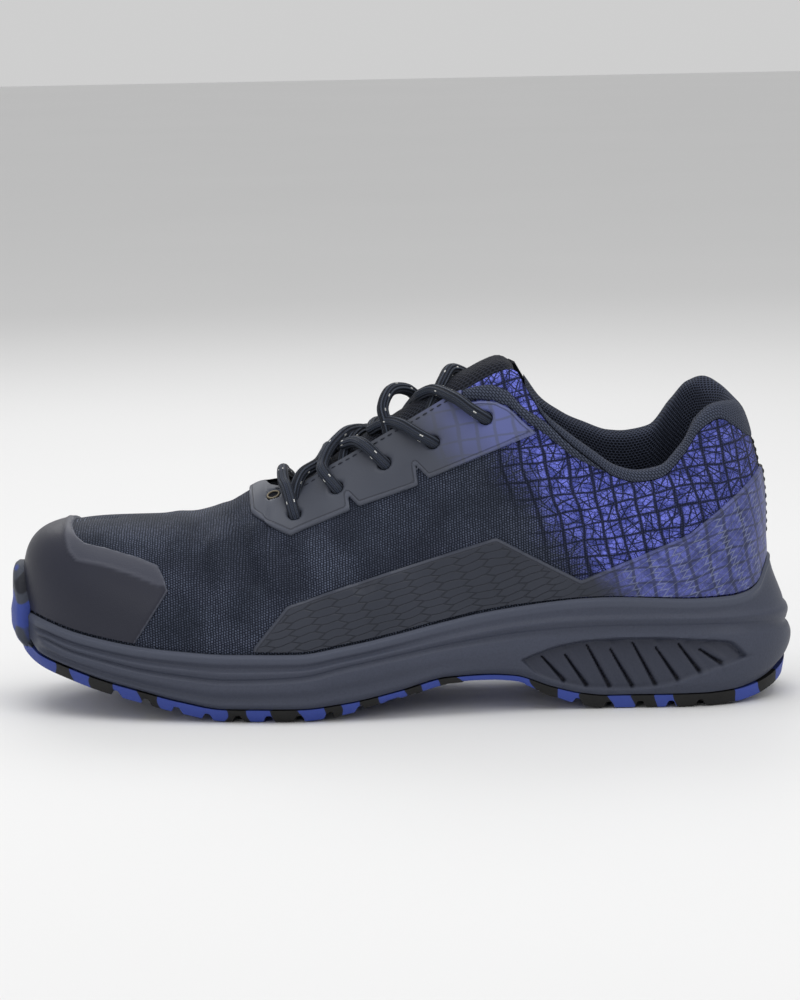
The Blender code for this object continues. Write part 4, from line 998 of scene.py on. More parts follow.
def toe_look():
    look = Look("toe film")
    place = look.place()
    outer, _, inside = look.split(look.laid())
    slow = look.noise(place, 18.0, 2.0)
    fine = look.noise(place, 1900.0, 2.0)
    colour = look.mix(slow, (0.016, 0.017, 0.027), (0.026, 0.028, 0.044))
    colour = look.mix(outer, colour, look.mix(slow, (0.040, 0.043, 0.060), (0.060, 0.064, 0.088)))
    # A lighter line just inside the cap's edge: a painted highlight on its bevel.
    painted_edge_highlight = 1.0 - inside.ramp(0.0002, 0.0007)
    colour = look.mix(painted_edge_highlight * 0.45, colour, (0.12, 0.13, 0.17))
    return look.finish(colour, 0.36 + fine * 0.12, fine, 0.00008, coat=0.0, gloss=0.26)


# %% [markdown]
# Foam and rubber are moulded: satin, with a fine skin grain. The outsole's rubber is
# pressed from blue, grey and black sheet, so its colours meet in hard patches.

# %% Foam and rubber


def foam_look():
    look = Look("sole foam")
    place = look.place()
    recess, slit, lip_highlight_share = look.split(look.laid())
    fine = look.noise(place, 1400.0, 3.0, 0.6)
    slow = look.noise(place, 14.0, 3.0)
    dust = look.noise(place, 320.0, 4.0, 0.7)
    colour = look.mix(slow, (0.042, 0.048, 0.072), (0.060, 0.068, 0.098))
    colour = look.mix(fine.ramp(0.35, 0.75) * 0.25, colour, (0.024, 0.027, 0.040))
    # The lip band is painted lighter: a painted highlight along the top of the lip.
    colour = look.mix(lip_highlight_share * 0.50, colour, (0.084, 0.095, 0.132))
    # The window recess is painted darker, more towards its top: painted shadow in the recess.
    colour = look.mix(recess * 0.60, colour, (0.018, 0.020, 0.032))
    # The slits are painted near black: painted shade inside the grooves.
    colour = look.mix(slit * 0.9, colour, (0.004, 0.004, 0.007))
    colour = look.mix(dust.ramp(0.68, 0.84) * 0.14, colour, (0.13, 0.14, 0.18))
    return look.finish(colour, 0.40 + fine * 0.14, fine * 0.6 + dust * 0.4, 0.00010, gloss=0.22)


def rubber_look():
    look = Look("tread rubber")
    place = look.place()
    x, y, up = look.split(place)
    bend = look.noise(place, 90.0, 1.0)
    across = look.noise(look.join(x * 20, y * 60, up * 30), 1.0, 1.0)
    patch = (x * 118 + across * 2.6 + up * 24 + bend * 0.8).floor()
    chance = look.node("ShaderNodeTexWhiteNoise", {"noise_dimensions": "1D"}, {"W": patch}, "Value")
    odd = (patch * 0.5).fract() > 0.25
    is_blue = (odd - (chance > 0.90)).abs()
    other = across
    black = look.mix(bend, (0.009, 0.009, 0.009), (0.016, 0.016, 0.016))
    blue = look.mix(other, (0.030, 0.052, 0.240), (0.048, 0.078, 0.340))
    colour = look.mix(is_blue, black, blue)
    # The wrap over the toe is swirled from the same sheets, with grey between.
    swirl = look.noise(look.join(y * 30, up * 45, x * 40), 1.6, 1.0)
    wrap = look.mix(swirl.ramp(0.50, 0.54), (0.050, 0.058, 0.080), (0.040, 0.066, 0.290))
    wrap = look.mix(swirl.ramp(0.36, 0.40), (0.016, 0.018, 0.026), wrap)
    colour = look.mix((x < -0.128) * (up > 0.0235), colour, wrap)
    fine = look.noise(place, 900.0, 3.0)
    return look.finish(colour, 0.50 + fine * 0.15, fine, 0.00012, gloss=0.25)


# %% [markdown]
# The collar is lined with a knitted mesh whose loops stand in shifted rows, and its
# edge is bound with a tighter knit. The lace is braided: fine ribs run along it and
# a few light threads come up as flecks.

# %% Knit, lining and cord


def knit_look(name, pitch, dark, light, deep):
    """Open mesh: dimples in shifted rows between lit loops."""
    look = Look(name)
    run, up, _ = look.split(look.laid())
    row_at = up / (pitch * 0.72)
    shift = row_at.floor() * 0.5
    a = ((run / pitch + shift).fract() - 0.5) * 2.0
    b = (row_at.fract() - 0.5) * 2.0
    hole = (1.0 - (a * a * 1.3 + b * b * 1.1)).ramp(-0.1, 0.65)
    grain = look.noise(look.join(run, up, 0.0), 3200.0, 2.0)
    slow = look.noise(look.place(), 60.0, 3.0)
    lit = (1.0 - hole) * (0.25 + grain * 0.9) * (0.55 + slow * 0.7)
    colour = look.mix(lit, dark, light)
    return look.finish(colour, 0.80, 1.0 - hole + grain * 0.35, deep, sheen=0.03, gloss=0.12)


def binding_look(name, pitch, dark, light, deep):
    """Tight knit: short slanted stitches side by side."""
    look = Look(name)
    run, up, _ = look.split(look.laid())
    slanted = (run + up * 0.75) / pitch
    crossed = (up - run * 0.35) / (pitch * 1.5) + slanted.floor() * 0.37
    a = (slanted.fract() - 0.5).abs()
    b = (crossed.fract() - 0.5).abs()
    stitch = (1.0 - (a * 2.0).max(b * 1.8)).ramp(0.02, 0.55)
    grain = look.noise(look.join(run, up, 0.0), 3000.0, 2.0)
    colour = look.mix(stitch * (0.25 + grain * 0.95), dark, light)
    return look.finish(colour, 0.80, stitch + grain * 0.4, deep, sheen=0.03, gloss=0.12)


def plain_cloth_look(name, dark, light, pitch=0.0009, deep=0.0001):
    look = Look(name)
    place = look.place()
    x, y, up = look.split(place)
    a = (x * (6.283 / pitch)).sin() * (y * (6.283 / pitch)).sin()
    grain = look.noise(place, 1800.0, 2.0)
    colour = look.mix((a * 0.35 + grain * 0.8 - 0.1).clamp(), dark, light)
    return look.finish(colour, 0.85, a * 0.5 + grain, deep, sheen=0.02, gloss=0.10)


def cord_look():
    look = Look("braided cord")
    run, turn, _ = look.split(look.laid())
    ribs = (turn * 5 * 6.283).sin()
    braid = ((run * 900 + turn * 8).fract() - 0.5).abs() * ((run * 900 - turn * 8).fract() - 0.5).abs()
    step = (run * 150).floor()
    chance = look.node("ShaderNodeTexWhiteNoise", {"noise_dimensions": "1D"}, {"W": step}, "Value")
    near = (turn - 0.12 - chance * 0.75).abs() < 0.032
    fleck = near * (((run * 150).fract() - 0.5).abs() < 0.085)
    line = ((turn * 3).fract() - 0.5).abs() < 0.10
    colour = look.mix((ribs * 0.5 + 0.5) * (0.5 + braid * 3.0), (0.004, 0.006, 0.011), (0.044, 0.055, 0.086))
    colour = look.mix(line * 0.30, colour, (0.12, 0.14, 0.18))
    colour = look.mix(fleck, colour, (0.70, 0.70, 0.68))
    return look.finish(colour, 0.66, ribs * 0.6 + braid * 2.0, 0.00045, sheen=0.02, gloss=0.20)


def thread_look():
    look = Look("sewing thread")
    fine = look.noise(look.place(), 2400.0, 2.0)
    colour = look.mix(fine, (0.010, 0.012, 0.020), (0.040, 0.045, 0.062))
    return look.finish(colour, 0.7, fine, 0.00005, gloss=0.3)


def brass_look():
    look = Look("eyelet lining")
    fine = look.noise(look.place(), 1200.0, 2.0)
    colour = look.mix(fine, (0.10, 0.085, 0.055), (0.26, 0.22, 0.15))
    return look.finish(colour, 0.45 + fine * 0.1, fine, 0.00003)


def floor_look():
    look = Look("studio floor")
    soft = look.noise(look.place(), 3.0, 2.0)
    colour = look.mix(soft, (0.76, 0.76, 0.76), (0.79, 0.79, 0.79))
    return look.finish(colour, 0.65, None)


CLOTH = cloth_look()
LINING = plain_cloth_look("dark lining", (0.004, 0.005, 0.008), (0.018, 0.020, 0.028), 0.0014, 0.00018)
EYE_FILM = film_look("eyestay film", False)
SIDE_FILM_LOOK = film_look("side film", True)
TOE = toe_look()
FOAM = foam_look()
RUBBER = rubber_look()
MESH_KNIT = knit_look("collar mesh", 0.0015, (0.006, 0.008, 0.014), (0.080, 0.095, 0.150), 0.00040)
BINDING = binding_look("binding knit", 0.0011, (0.009, 0.012, 0.020), (0.085, 0.100, 0.150), 0.00025)
TONGUE_CLOTH = knit_look("tongue mesh", 0.0017, (0.004, 0.005, 0.009), (0.026, 0.031, 0.048), 0.00035)
FOOTBED = plain_cloth_look("footbed cloth", (0.008, 0.009, 0.013), (0.032, 0.035, 0.044))
CORD = cord_look()
THREAD_LOOK = thread_look()
BRASS = brass_look()
floor.data.materials.append(floor_look())

# %% [markdown]
# ## Midsole
#
# One moulded carrier. Its side is a stack of rings: a rounded lower body, a long
# crease, a shoulder and the lip that holds the upper. The outer side has a leaf
# shaped recess under the heel, with slanted slits in its floor.

# %% Side of the midsole
RING_STEPS = (8, 10, 11, 11, 7, 4, 5, 5, 5, 4, 3)
SLITS = (0.094, 0.785)
SLIT_COUNT = 8
SLIT_LEAN = 0.027
SLIT_MARGIN = (0.0024, 0.0042)


def wall_rows(u, side):
    """Height and inset of each row of the side, at one place along the outline."""
    station = fan(u)[0]
    share = blend(FORE_END, HEEL_START, station)
    crease_at = along(SOLE, station, "crease") * HEEL_STACK
    shoulder = min(lip(u), SHOULDER * HEEL_STACK) - LIP_BAND
    low = tread(edge(u, side).x) + tread_band(edge(u, side).x) + 1.5 * CLEARANCE
    zones = ((low, crease_at), (crease_at, shoulder), (lip(u) - LIP_BAND, lip(u)))
    found = []
    for row in SIDE_WALL:
        start, end = zones[row["zone"]]
        inset = row["fore"] + (row["heel"] - row["fore"]) * share
        if row["zone"] == 2:
            inset += lip_inset(u)
        inset = max(inset, toe_recess(u, side))
        found.append((start + (end - start) * row["share"], inset))
    return found


def eased(rows, k, t):
    """A smooth curve through the rows' insets, with heights even between rows."""
    a, b, c, d = (rows[min(max(k + n, 0), len(rows) - 1)][1] for n in (-1, 0, 1, 2))
    inset = b + 0.5 * t * (
        c - a + t * (2 * a - 5 * b + 4 * c - d + t * (3 * (b - c) + d - a))
    )
    height = rows[k][0] + (rows[k + 1][0] - rows[k][0]) * t
    return height, inset


SLIT_LINES = []
for k in range(SLIT_COUNT):
    share = SLITS[0] + (SLITS[1] - SLITS[0]) * k / (SLIT_COUNT - 1)
    head_at = WINDOW[0]["station"] + share * (WINDOW[-1]["station"] - WINDOW[0]["station"])
    head = along(WINDOW, head_at, "top") * HEEL_STACK - SLIT_MARGIN[k % 2]
    foot_at = head_at + SLIT_LEAN
    foot = along(WINDOW, foot_at, "low") * HEEL_STACK + SLIT_MARGIN[0] * 0.6
    SLIT_LINES.append((
        Vector(((head_at - 0.5) * SHOE_LENGTH, head)),
        Vector(((foot_at - 0.5) * SHOE_LENGTH, foot)),
    ))


def window_depth(x, z):
    station = station_of(x)
    if not WINDOW[0]["station"] < station < WINDOW[-1]["station"]:
        return 0.0, 0.0, 0.0
    top = along(WINDOW, station, "top") * HEEL_STACK
    low = along(WINDOW, station, "low") * HEEL_STACK
    inside = min(top - z, z - low)
    if inside < -0.002:
        return 0.0, 0.0, 0.0
    floor_share = min(max((z - low) / max(top - low, 1e-4), 0), 1)
    deep = WINDOW_DEPTH * (0.45 + 0.55 * floor_share)
    recess = blend(-0.0004, 0.0012, inside)
    total = deep * recess
    slit = 0.0
    for a, b in SLIT_LINES:
        share = min(max((Vector((x, z)) - a).dot(b - a) / (b - a).length_squared, 0), 1)
        far = (Vector((x, z)) - a.lerp(b, share)).length
        width = 0.00022 + 0.00040 * share
        here = 1 - blend(0.5 * width, 1.6 * width, far)
        # The slit share also paints each slit near black in the foam's colour: painted shade.
        slit = max(slit, here)
        total += SLIT_DEPTH * here
        # The face behind each slit stands a little proud, as a fin.
        proud = 0.0004 * math.exp(-((far - 0.0018) / 0.0009) ** 2)
        total -= proud * (1 if x > a.x + (b.x - a.x) * share else 0)
    # The second value darkens the recess in the foam's colour, more towards its top: painted shadow.
    return total, recess * (0.6 + 0.4 * floor_share), slit


def midsole_piece():
    form = Form()
    us = even_us(0.0026, ((0.645, 0.935, 0.00055),))
    loop = [(u, LATERAL) for u in us] + [(u, MEDIAL) for u in us[-2:0:-1]]
    rings = [[] for _ in range(sum(RING_STEPS) + 1)]
    for u, side in loop:
        rows = wall_rows(u, side)
        number = 0
        for k, steps in enumerate(RING_STEPS):
            last = k == len(RING_STEPS) - 1
            for n in range(steps + (1 if last else 0)):
                height, inset = eased(rows, k, n / steps)
                spot = edge(u, side)
                deep, recess, slit = window_depth(spot.x, height) if side == LATERAL else (0, 0, 0)
                place = rim(u, side, inset + deep).to_3d()
                place.z = height
                # Share of the lip band, painted lighter in the foam as a painted highlight.
                lip_highlight_share = blend(-0.0004, 0.0003, height - lip(u) + LIP_BAND)
                rings[number].append(form.point((number, u, side), place, (recess, slit, lip_highlight_share)))
                number += 1
    for name, inset_by, drop in (("rim", 0.0004, 0.0), ("rim in", 0.0012, 0.0), ("in", 0.0, 0.0004)):
        ring = []
        for u, side in loop:
            inset = lip_inset(u) + (inset_by if name != "in" else LIP_THICKNESS)
            place = rim(u, side, inset).to_3d()
            place.z = lip(u) + (0.0002 if inset_by else -drop)
            ring.append(form.point((name, u, side), place))
        rings.append(ring)
    well = []
    for u, side in loop:
        place = rim(u, side, LIP_INSET + LIP_THICKNESS).to_3d()
        place.z = bed(place.x)
        well.append(form.point(("well", u, side), place))
    rings.append(well)
    form.walls(rings)
    form.cap(rings[0])
    form.cap(rings[-1])
    piece = form.build("midsole_foam", [FOAM], 60)
    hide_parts("midsole")
    return piece


midsole = midsole_piece()

# %% [markdown]
# ## Outsole
#
# A rubber tread with trapezoid notches between its lugs, two lengthwise channels,
# and shallow uneven steps under the arch, where it doesn't touch the floor.

# %% Tread
CHANNELS = (0.255, 0.745)
TREAD_EDGE = 0.0034
NOTCH_COUNT = round((NOTCHED[1] - NOTCHED[0]) * SHOE_LENGTH / LUG_PITCH)
NOTCH_PITCH = (NOTCHED[1] - NOTCHED[0]) / NOTCH_COUNT
NOTCHES = [NOTCHED[0] + NOTCH_PITCH * k for k in range(NOTCH_COUNT + 1)]
NOTCHES = [at for at in NOTCHES if along(SOLE, at, "arch") < 0.40]
HALF_NOTCH = LUG_NOTCH_WIDTH / 2 / SHOE_LENGTH


def tread_lift(station, across):
    """How far the tread's underside is raised by notches, channels and steps."""
    far = min(abs(station - at) for at in NOTCHES)
    share = min(max((far - 0.45 * HALF_NOTCH) / (0.92 * HALF_NOTCH), 0), 1)
    lift = LUG_NOTCH_DEPTH * (1 - share)
    fade = blend(0.0, 0.06, min(station, 1 - station))
    for channel in CHANNELS:
        here = 1 - blend(0.006, 0.020, abs(across - channel))
        lift = max(lift, LUG_NOTCH_DEPTH * here * fade)
    arch = along(SOLE, station, "arch")
    if arch > 0.12:
        step = noise.cell(Vector((station * 52, round(across * 5), 0)))
        lift = max(lift, 0.0013 * abs(step) * blend(0.12, 0.3, arch))
    return lift


def outsole_form():
    form = Form()
    us = set(round(u, 6) for u in even_us(0.0022, ((0.44, 0.68, 0.0009),)))
    for at in NOTCHES:
        for shift in (-1.35, -1.15, -0.8, -0.45, 0, 0.45, 0.8, 1.15, 1.35):
            us.add(round(at_station(at + shift * HALF_NOTCH), 6))
    us = sorted(us)
    us = [0.0] + [b for a, b in zip(us, us[1:]) if b - a > 0.0003]
    us[-1] = 1.0
    sections = []
    for u in us:
        station = fan(u)[0]
        low, high = {}, {}
        for side in (LATERAL, MEDIAL):
            recess = 0.6 * toe_recess(u, side)
            low[side] = rim(u, side, max(TREAD_EDGE, recess))
            high[side] = rim(u, side, max(wall_rows(u, side)[0][1] - 0.0005, 0))
            if u in (0.0, 1.0):
                low[side].y = high[side].y = edge(u, side).y
        section = []
        outer = []
        for side, share, lift in (
            (LATERAL, 1.0, 1.0), (LATERAL, 0.8, 0.72), (LATERAL, 0.45, 0.40), (LATERAL, 0.12, 0.10),
        ):
            outer.append((side, share, lift))
        for side, share, lift in outer:
            flat = low[side].lerp(high[side], share)
            raised = tread_lift(station, 0.0)
            section.append((flat, max(lift * tread_band(flat.x), raised * (1 - share * 0.3))))
        for k in range(31):
            across = k / 30
            flat = low[LATERAL].lerp(low[MEDIAL], across)
            section.append((flat, tread_lift(station, across)))
        for side, share, lift in reversed(outer):
            flat = low[MEDIAL].lerp(high[MEDIAL], share)
            raised = tread_lift(station, 1.0)
            section.append((flat, max(lift * tread_band(flat.x), raised * (1 - share * 0.3))))
        ring = []
        for k, (flat, lift) in enumerate(section):
            place = flat.to_3d()
            place.z = tread(place.x) + lift
            name = (u, k)
            if u in (0.0, 1.0):
                name = (u, round(lift, 5))
            ring.append(form.point(name, place))
        sections.append(ring)
    form.walls(sections)
    return form


outsole = outsole_form()

# %% [markdown]
# ## Upper
#
# The cloth shell is one surface from the sole's lip to the top line, with its inner
# face two millimetres in. Its rim shows at the throat.

# %% Shells over the last


def rows_between(low, high, count):
    return [low + (high - low) * k / count for k in range(count + 1)]


def shell_form(us, rows, low, high, inner_slot):
    form = Form()

    def spot(u, side, v, distance):
        shared = u <= 0 or u >= 1 or on_ridge(u, v)
        key = (0 if shared else side, u, v, distance)
        if key in form.index:
            return form.index[key]
        return form.point(key, offset(u, side, v, distance), lay(u, side, v))

    for side in (LATERAL, MEDIAL):
        for u, after in zip(us, us[1:]):
            for v, above in zip(rows, rows[1:]):
                for distance, slot in ((low, inner_slot), (high, 0)):
                    form.quad(*(spot(*corner, distance) for corner in (
                        (u, side, v), (after, side, v), (after, side, above), (u, side, above)
                    )), slot)
            for v in (rows[0], rows[-1]):
                if v == rows[-1] and on_ridge(u, v) and on_ridge(after, v):
                    continue
                form.quad(spot(u, side, v, low), spot(after, side, v, low),
                          spot(after, side, v, high), spot(u, side, v, high), inner_slot)
    return form


def upper_piece():
    us = even_us(0.0020)
    front = at_station(THROAT_FRONT)
    us = sorted(set(us) | {front})
    rows = [-1.0, -0.4, 0.0] + rows_between(0.02, 1.0, 58)
    form = shell_form(us, rows, -UPPER_WALL, 0.0, 1)
    piece = form.build("upper_cloth", [CLOTH, LINING], 60)
    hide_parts("upper")
    return piece


upper = upper_piece()

# %% [markdown]
# ## Films and bands
#
# Each overlay is drawn in side view as a closed outline, with round holes where the
# lace goes through. A fine net over the last is clipped to it, and every point
# keeps its distance from the edge, which the material uses for the moulded border.

# %% Clipped overlays
TOE_CAP = table(
    "station height",
    (0.083, 0.650),
    (0.083, 0.540),
    (0.091, 0.519),
    (0.103, 0.503),
    (0.130, 0.492),
    (0.172, 0.468),
    (0.196, 0.447),
    (0.204, 0.414),
    (0.209, 0.378),
    (0.166, 0.225),
    (0.150, 0.150),
    (-0.050, 0.150),
    (-0.050, 0.650),
)
TOE_RIDGE = table(
    "station height",
    (0.074, 0.570), (0.077, 0.515), (0.083, 0.478), (0.094, 0.455), (0.128, 0.443),
    (0.165, 0.418), (0.199, 0.388),
)
EYESTAY = table(
    "station height",
    (0.300, 0.750),
    (0.309, 0.651),
    (0.314, 0.585),
    (0.328, 0.562),
    (0.364, 0.529),
    (0.439, 0.601),
    (0.437, 0.640),
    (0.450, 0.612),
    (0.525, 0.671),
    (0.522, 0.728),
    (0.538, 0.691),
    (0.668, 0.811),
    (0.674, 0.818),
    (0.671, 0.824),
    (0.662, 0.841),
    (0.650, 0.870),
    (0.640, 0.889),
    (0.624, 0.907),
    (0.606, 0.909),
    (0.584, 0.901),
    (0.575, 1.100),
    (0.450, 1.100),
)
BAND = table(
    "station upper lower",
    (0.584, 0.936, 0.905),
    (0.603, 0.949, 0.913),
    (0.620, 0.954, 0.912),
    (0.640, 0.936, 0.894),
    (0.652, 0.906, 0.872),
    (0.664, 0.880, 0.846),
    (0.676, 0.862, 0.828),
    (0.688, 0.842, 0.808),
    (0.704, 0.812, 0.776),
    (0.716, 0.790, 0.752),
)
SIDE_FILM = table(
    "station above",
    (0.312, -0.050),
    (0.316, 0.028),
    (0.358, 0.174),
    (0.455, 0.234),
    (0.621, 0.308),
    (0.727, 0.082),
    (0.862, 0.284),
    (0.953, 0.505),
    (1.050, 0.640),
    (1.050, -0.050),
    (0.950, -0.050),
    (0.850, -0.050),
    (0.720, -0.050),
    (0.580, -0.050),
    (0.440, -0.050),
)
EYELETS = table(
    "station height",
    (0.340, 0.628), (0.369, 0.580), (0.424, 0.657), (0.485, 0.729), (0.546, 0.791),
    (0.608, 0.860),
)
EYELET_RADIUS = 0.0027


def side_view(rows, column="height"):
    return [
        Vector(((row["station"] - 0.5) * SHOE_LENGTH, row[column] * THROAT_TOP_HEIGHT))
        for row in rows
    ]


def above_lip(rows):
    """The same for rows whose height is a share of the way from the lip to the top."""
    found = []
    for row in rows:
        low = along(SOLE, row["station"], "lip") * HEEL_STACK
        height = low + row["above"] * (THROAT_TOP_HEIGHT - low)
        found.append(Vector(((row["station"] - 0.5) * SHOE_LENGTH, height)))
    return found


def inside_by(outline, spot):
    """Distance to the outline, minus outside."""
    nearest, inside = 1.0, False
    for a, b in zip(outline, outline[1:] + outline[:1]):
        way = b - a
        share = min(max((spot - a).dot(way) / way.length_squared, 0), 1)
        nearest = min(nearest, (spot - a - way * share).length)
        if (a.y > spot.y) != (b.y > spot.y):
            if spot.x < a.x + (spot.y - a.y) / (b.y - a.y) * (b.x - a.x):
                inside = not inside
    return nearest if inside else -nearest


def line_distance(points, spot):
    nearest = 1.0
    for a, b in zip(points, points[1:]):
        share = min(max((spot - a).dot(b - a) / (b - a).length_squared, 0), 1)
        nearest = min(nearest, (spot - a.lerp(b, share)).length)
    return nearest


def beyond(ridge, spot):
    """Distance past the ridge line, towards the cloth; minus on the toe's side."""
    far = line_distance(ridge, spot)
    for a, b in zip(ridge, ridge[1:]):
        if a.x <= spot.x <= b.x:
            level = a.y + (b.y - a.y) * (spot.x - a.x) / (b.x - a.x)
            return far if spot.y > level else -far
    return -far if spot.x < ridge[0].x or spot.y < ridge[-1].y else far


@lru_cache(maxsize=None)
def eyelet(number, side):
    """u and v of an eyelet."""
    row = EYELETS[number]
    u, low, high = at_station(row["station"]), 0.2, 1.0
    for _ in range(30):
        middle = (low + high) / 2
        if skin(u, side, middle).z < row["height"] * THROAT_TOP_HEIGHT:
            low = middle
        else:
            high = middle
    return u, low


def overlay(name, look, outline, us, rows, sides, thickness, holes=(), swell=0.0004, ridge=()):
    form = Form()
    centres = {side: [skin(*eyelet(k, side)[:1], side, eyelet(k, side)[1]) for k in holes]
               for side in sides}

    @lru_cache(maxsize=None)
    def depth(u, side, v):
        base = skin(u, side, v)
        found = inside_by(outline, Vector((base.x, base.z)))
        for centre in centres[side]:
            found = min(found, (base - centre).length - EYELET_RADIUS)
        return found

    def spot(u, side, v, layer):
        shared = u <= 0 or u >= 1 or on_ridge(u, v)
        key = (0 if shared else side, u, v, layer)
        if key in form.index:
            return form.index[key]
        base = skin(u, side, v)
        inside = max(depth(u, side, v), 0.0)
        high = 0.00008
        if layer:
            high = CLEARANCE + thickness * (0.35 + 0.65 * math.sqrt(min(inside / swell, 1.0)))
            if ridge:
                far = line_distance(ridge, Vector((base.x, base.z)))
                high += 0.00045 * math.exp(-(far / 0.0006) ** 2)
        laid = lay(u, side, v)
        run = laid.x
        if ridge:
            run = blend(-0.0003, 0.0003, beyond(ridge, Vector((base.x, base.z))))
        elif holes:
            inside = max(inside_by(outline, Vector((base.x, base.z))), 0.0)
        return form.point(key, offset(u, side, v, high), Vector((run, laid.y, inside)))

    def crossing(a, b, side):
        for _ in range(12):
            middle = ((a[0] + b[0]) / 2, (a[1] + b[1]) / 2)
            if depth(middle[0], side, middle[1]) > 0:
                a = middle
            else:
                b = middle
        return a

    crossings = {}
    for side in sides:
        for u, after in zip(us, us[1:]):
            for v, above in zip(rows, rows[1:]):
                corners = [(u, v), (after, v), (after, above), (u, above)]
                depths = [depth(c[0], side, c[1]) for c in corners]
                if max(depths) <= 0:
                    continue
                ring = []
                for k in range(4):
                    a, b = corners[k], corners[(k + 1) % 4]
                    if depths[k] > 0:
                        ring.append((a, False))
                    if (depths[k] > 0) != (depths[(k + 1) % 4] > 0):
                        key = (side, min(a, b), max(a, b))
                        if key not in crossings:
                            start, end = (a, b) if depths[k] > 0 else (b, a)
                            crossings[key] = crossing(start, end, side)
                        ring.append((crossings[key], True))
                for layer in (0, 1):
                    numbers = [spot(c[0], side, c[1], layer) for c, _ in ring]
                    face = tuple(dict.fromkeys(numbers))
                    if len(face) > 2:
                        form.faces.append((face, 0))
                cut = [c for c, edge_point in ring if edge_point]
                if len(cut) == 2:
                    form.quad(*(spot(c[0], side, c[1], layer) for c, layer in (
                        (cut[0], 0), (cut[1], 0), (cut[1], 1), (cut[0], 1))))
    return form.build(name, [look], 50)


def stations_between(first, last, spacing):
    return [u for u in even_us(spacing) if first <= fan(u)[0] <= last]


eyestay = overlay(
    "eyestay_film", EYE_FILM, side_view(EYESTAY), stations_between(0.285, 0.70, 0.0010),
    rows_between(0.40, 1.0, 58), (LATERAL, MEDIAL), FILM_THICKNESS, range(6),
)
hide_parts("eyestay")
side_film = overlay(
    "side_panel_film", SIDE_FILM_LOOK, above_lip(SIDE_FILM), stations_between(0.29, 1.0, 0.0013),
    rows_between(0.012, 0.90, 72), (LATERAL, MEDIAL), FILM_THICKNESS,
)
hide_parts("side_film")
toe_cap = overlay(
    "toe_cap_film", TOE, side_view(TOE_CAP), stations_between(0.0, 0.25, 0.0013),
    rows_between(0.012, 1.0, 64), (LATERAL, MEDIAL), FILM_THICKNESS, (), 0.0004,
    side_view(TOE_RIDGE),
)
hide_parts("toe_cap")
BAND_RUN_OUT = table(
    "station upper lower",
    (0.730, 0.768, 0.735),
    (0.746, 0.750, 0.716),
    (0.762, 0.735, 0.700),
    (0.780, 0.720, 0.690),
)
for name, side, rows in (
    ("band_lateral", LATERAL, BAND + BAND_RUN_OUT), ("band_medial", MEDIAL, BAND),
):
    band = overlay(
        name + "_knit", BINDING, side_view(rows, "upper") + side_view(rows, "lower")[::-1],
        stations_between(0.55, 0.79, 0.0007), rows_between(0.60, 1.0, 60), (side,),
        BAND_HEIGHT, (), 0.0018,
    )
    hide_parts(name)

# %% [markdown]
# ## Footbed, tongue and collar
#
# The tongue arches from wing to wing under the throat. The collar is a soft pad
# inside the quarter that rolls over its top line, highest at the heel.

# %% Footbed


def insole_piece():
    form = Form()
    us = even_us(0.0030)
    loop = [(u, LATERAL) for u in us] + [(u, MEDIAL) for u in us[-2:0:-1]]
    inset = LIP_INSET + LIP_THICKNESS + UPPER_WALL + 3 * CLEARANCE
    rings = []
    for extra, share in (
        (0.0006, 0.0), (0.0, 0.25), (0.0, 0.7), (0.0005, 0.92), (0.0014, 1.0), (0.004, 1.02),
    ):
        ring = []
        for u, side in loop:
            height = CLEARANCE + INSOLE_THICKNESS * share
            lean = (lip_inset(u) - LIP_INSET) * height / (lip(u) - bed(edge(u, side).x))
            place = rim(u, side, inset + extra + lean).to_3d()
            place.z = bed(place.x) + height
            ring.append(form.point((extra, share, u, side), place))
        rings.append(ring)
    form.walls(rings)
    form.cap(rings[0])
    form.cap(rings[-1])
    piece = form.build("footbed", [FOOTBED], 60)
    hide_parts("insole")
    return piece


insole = insole_piece()

# %% Tongue


def tongue_section(u, thickness):
    station = fan(u)[0]
    ridge = on_ridge(u, 1.0)
    wing = (0.66, 0.76, 0.86) if ridge else (0.80, 0.90, 1.0)
    depth = UPPER_WALL + CLEARANCE
    sides = {}
    for side in (LATERAL, MEDIAL):
        sides[side] = [
            offset(u, side, v, -depth - thickness * t) for v, t in zip(wing, (0.35, 0.45, 0.60))
        ]
    if ridge:
        spots = ((LATERAL, 0.92), (LATERAL, 0.97), (LATERAL, 1.0), (MEDIAL, 0.97), (MEDIAL, 0.92))
        arch = [offset(u, side, v, -depth - thickness * 0.6) for side, v in spots]
        return sides[LATERAL] + arch + sides[MEDIAL][::-1]
    start, end = sides[LATERAL][-1], sides[MEDIAL][-1]
    peak = skin(u, LATERAL, 1.0).z + along(TONGUE, station, "crown") - thickness
    rise = peak - (start.z + end.z) / 2
    lean = math.radians(along(SECTION, station, "lean"))
    carry = rise / (0.75 * max(math.sin(lean), 0.3))
    carry = min(max(carry, 0.001), 0.45 * (end - start).length)
    first = (skin(u, LATERAL, 1.0) - skin(u, LATERAL, 0.97)).normalized()
    last = (skin(u, MEDIAL, 1.0) - skin(u, MEDIAL, 0.97)).normalized()
    spare = rise - 0.75 * carry * (first.z + last.z) / 2
    arch = []
    for t in (0.18, 0.34, 0.5, 0.66, 0.82):
        w = 1 - t
        place = (
            start * w**3 + (start + first * carry) * (3 * w * w * t)
            + (end + last * carry) * (3 * w * t * t) + end * t**3
        )
        place.z += spare * 4 * t * w
        arch.append(place)
    return sides[LATERAL] + arch + sides[MEDIAL][::-1]


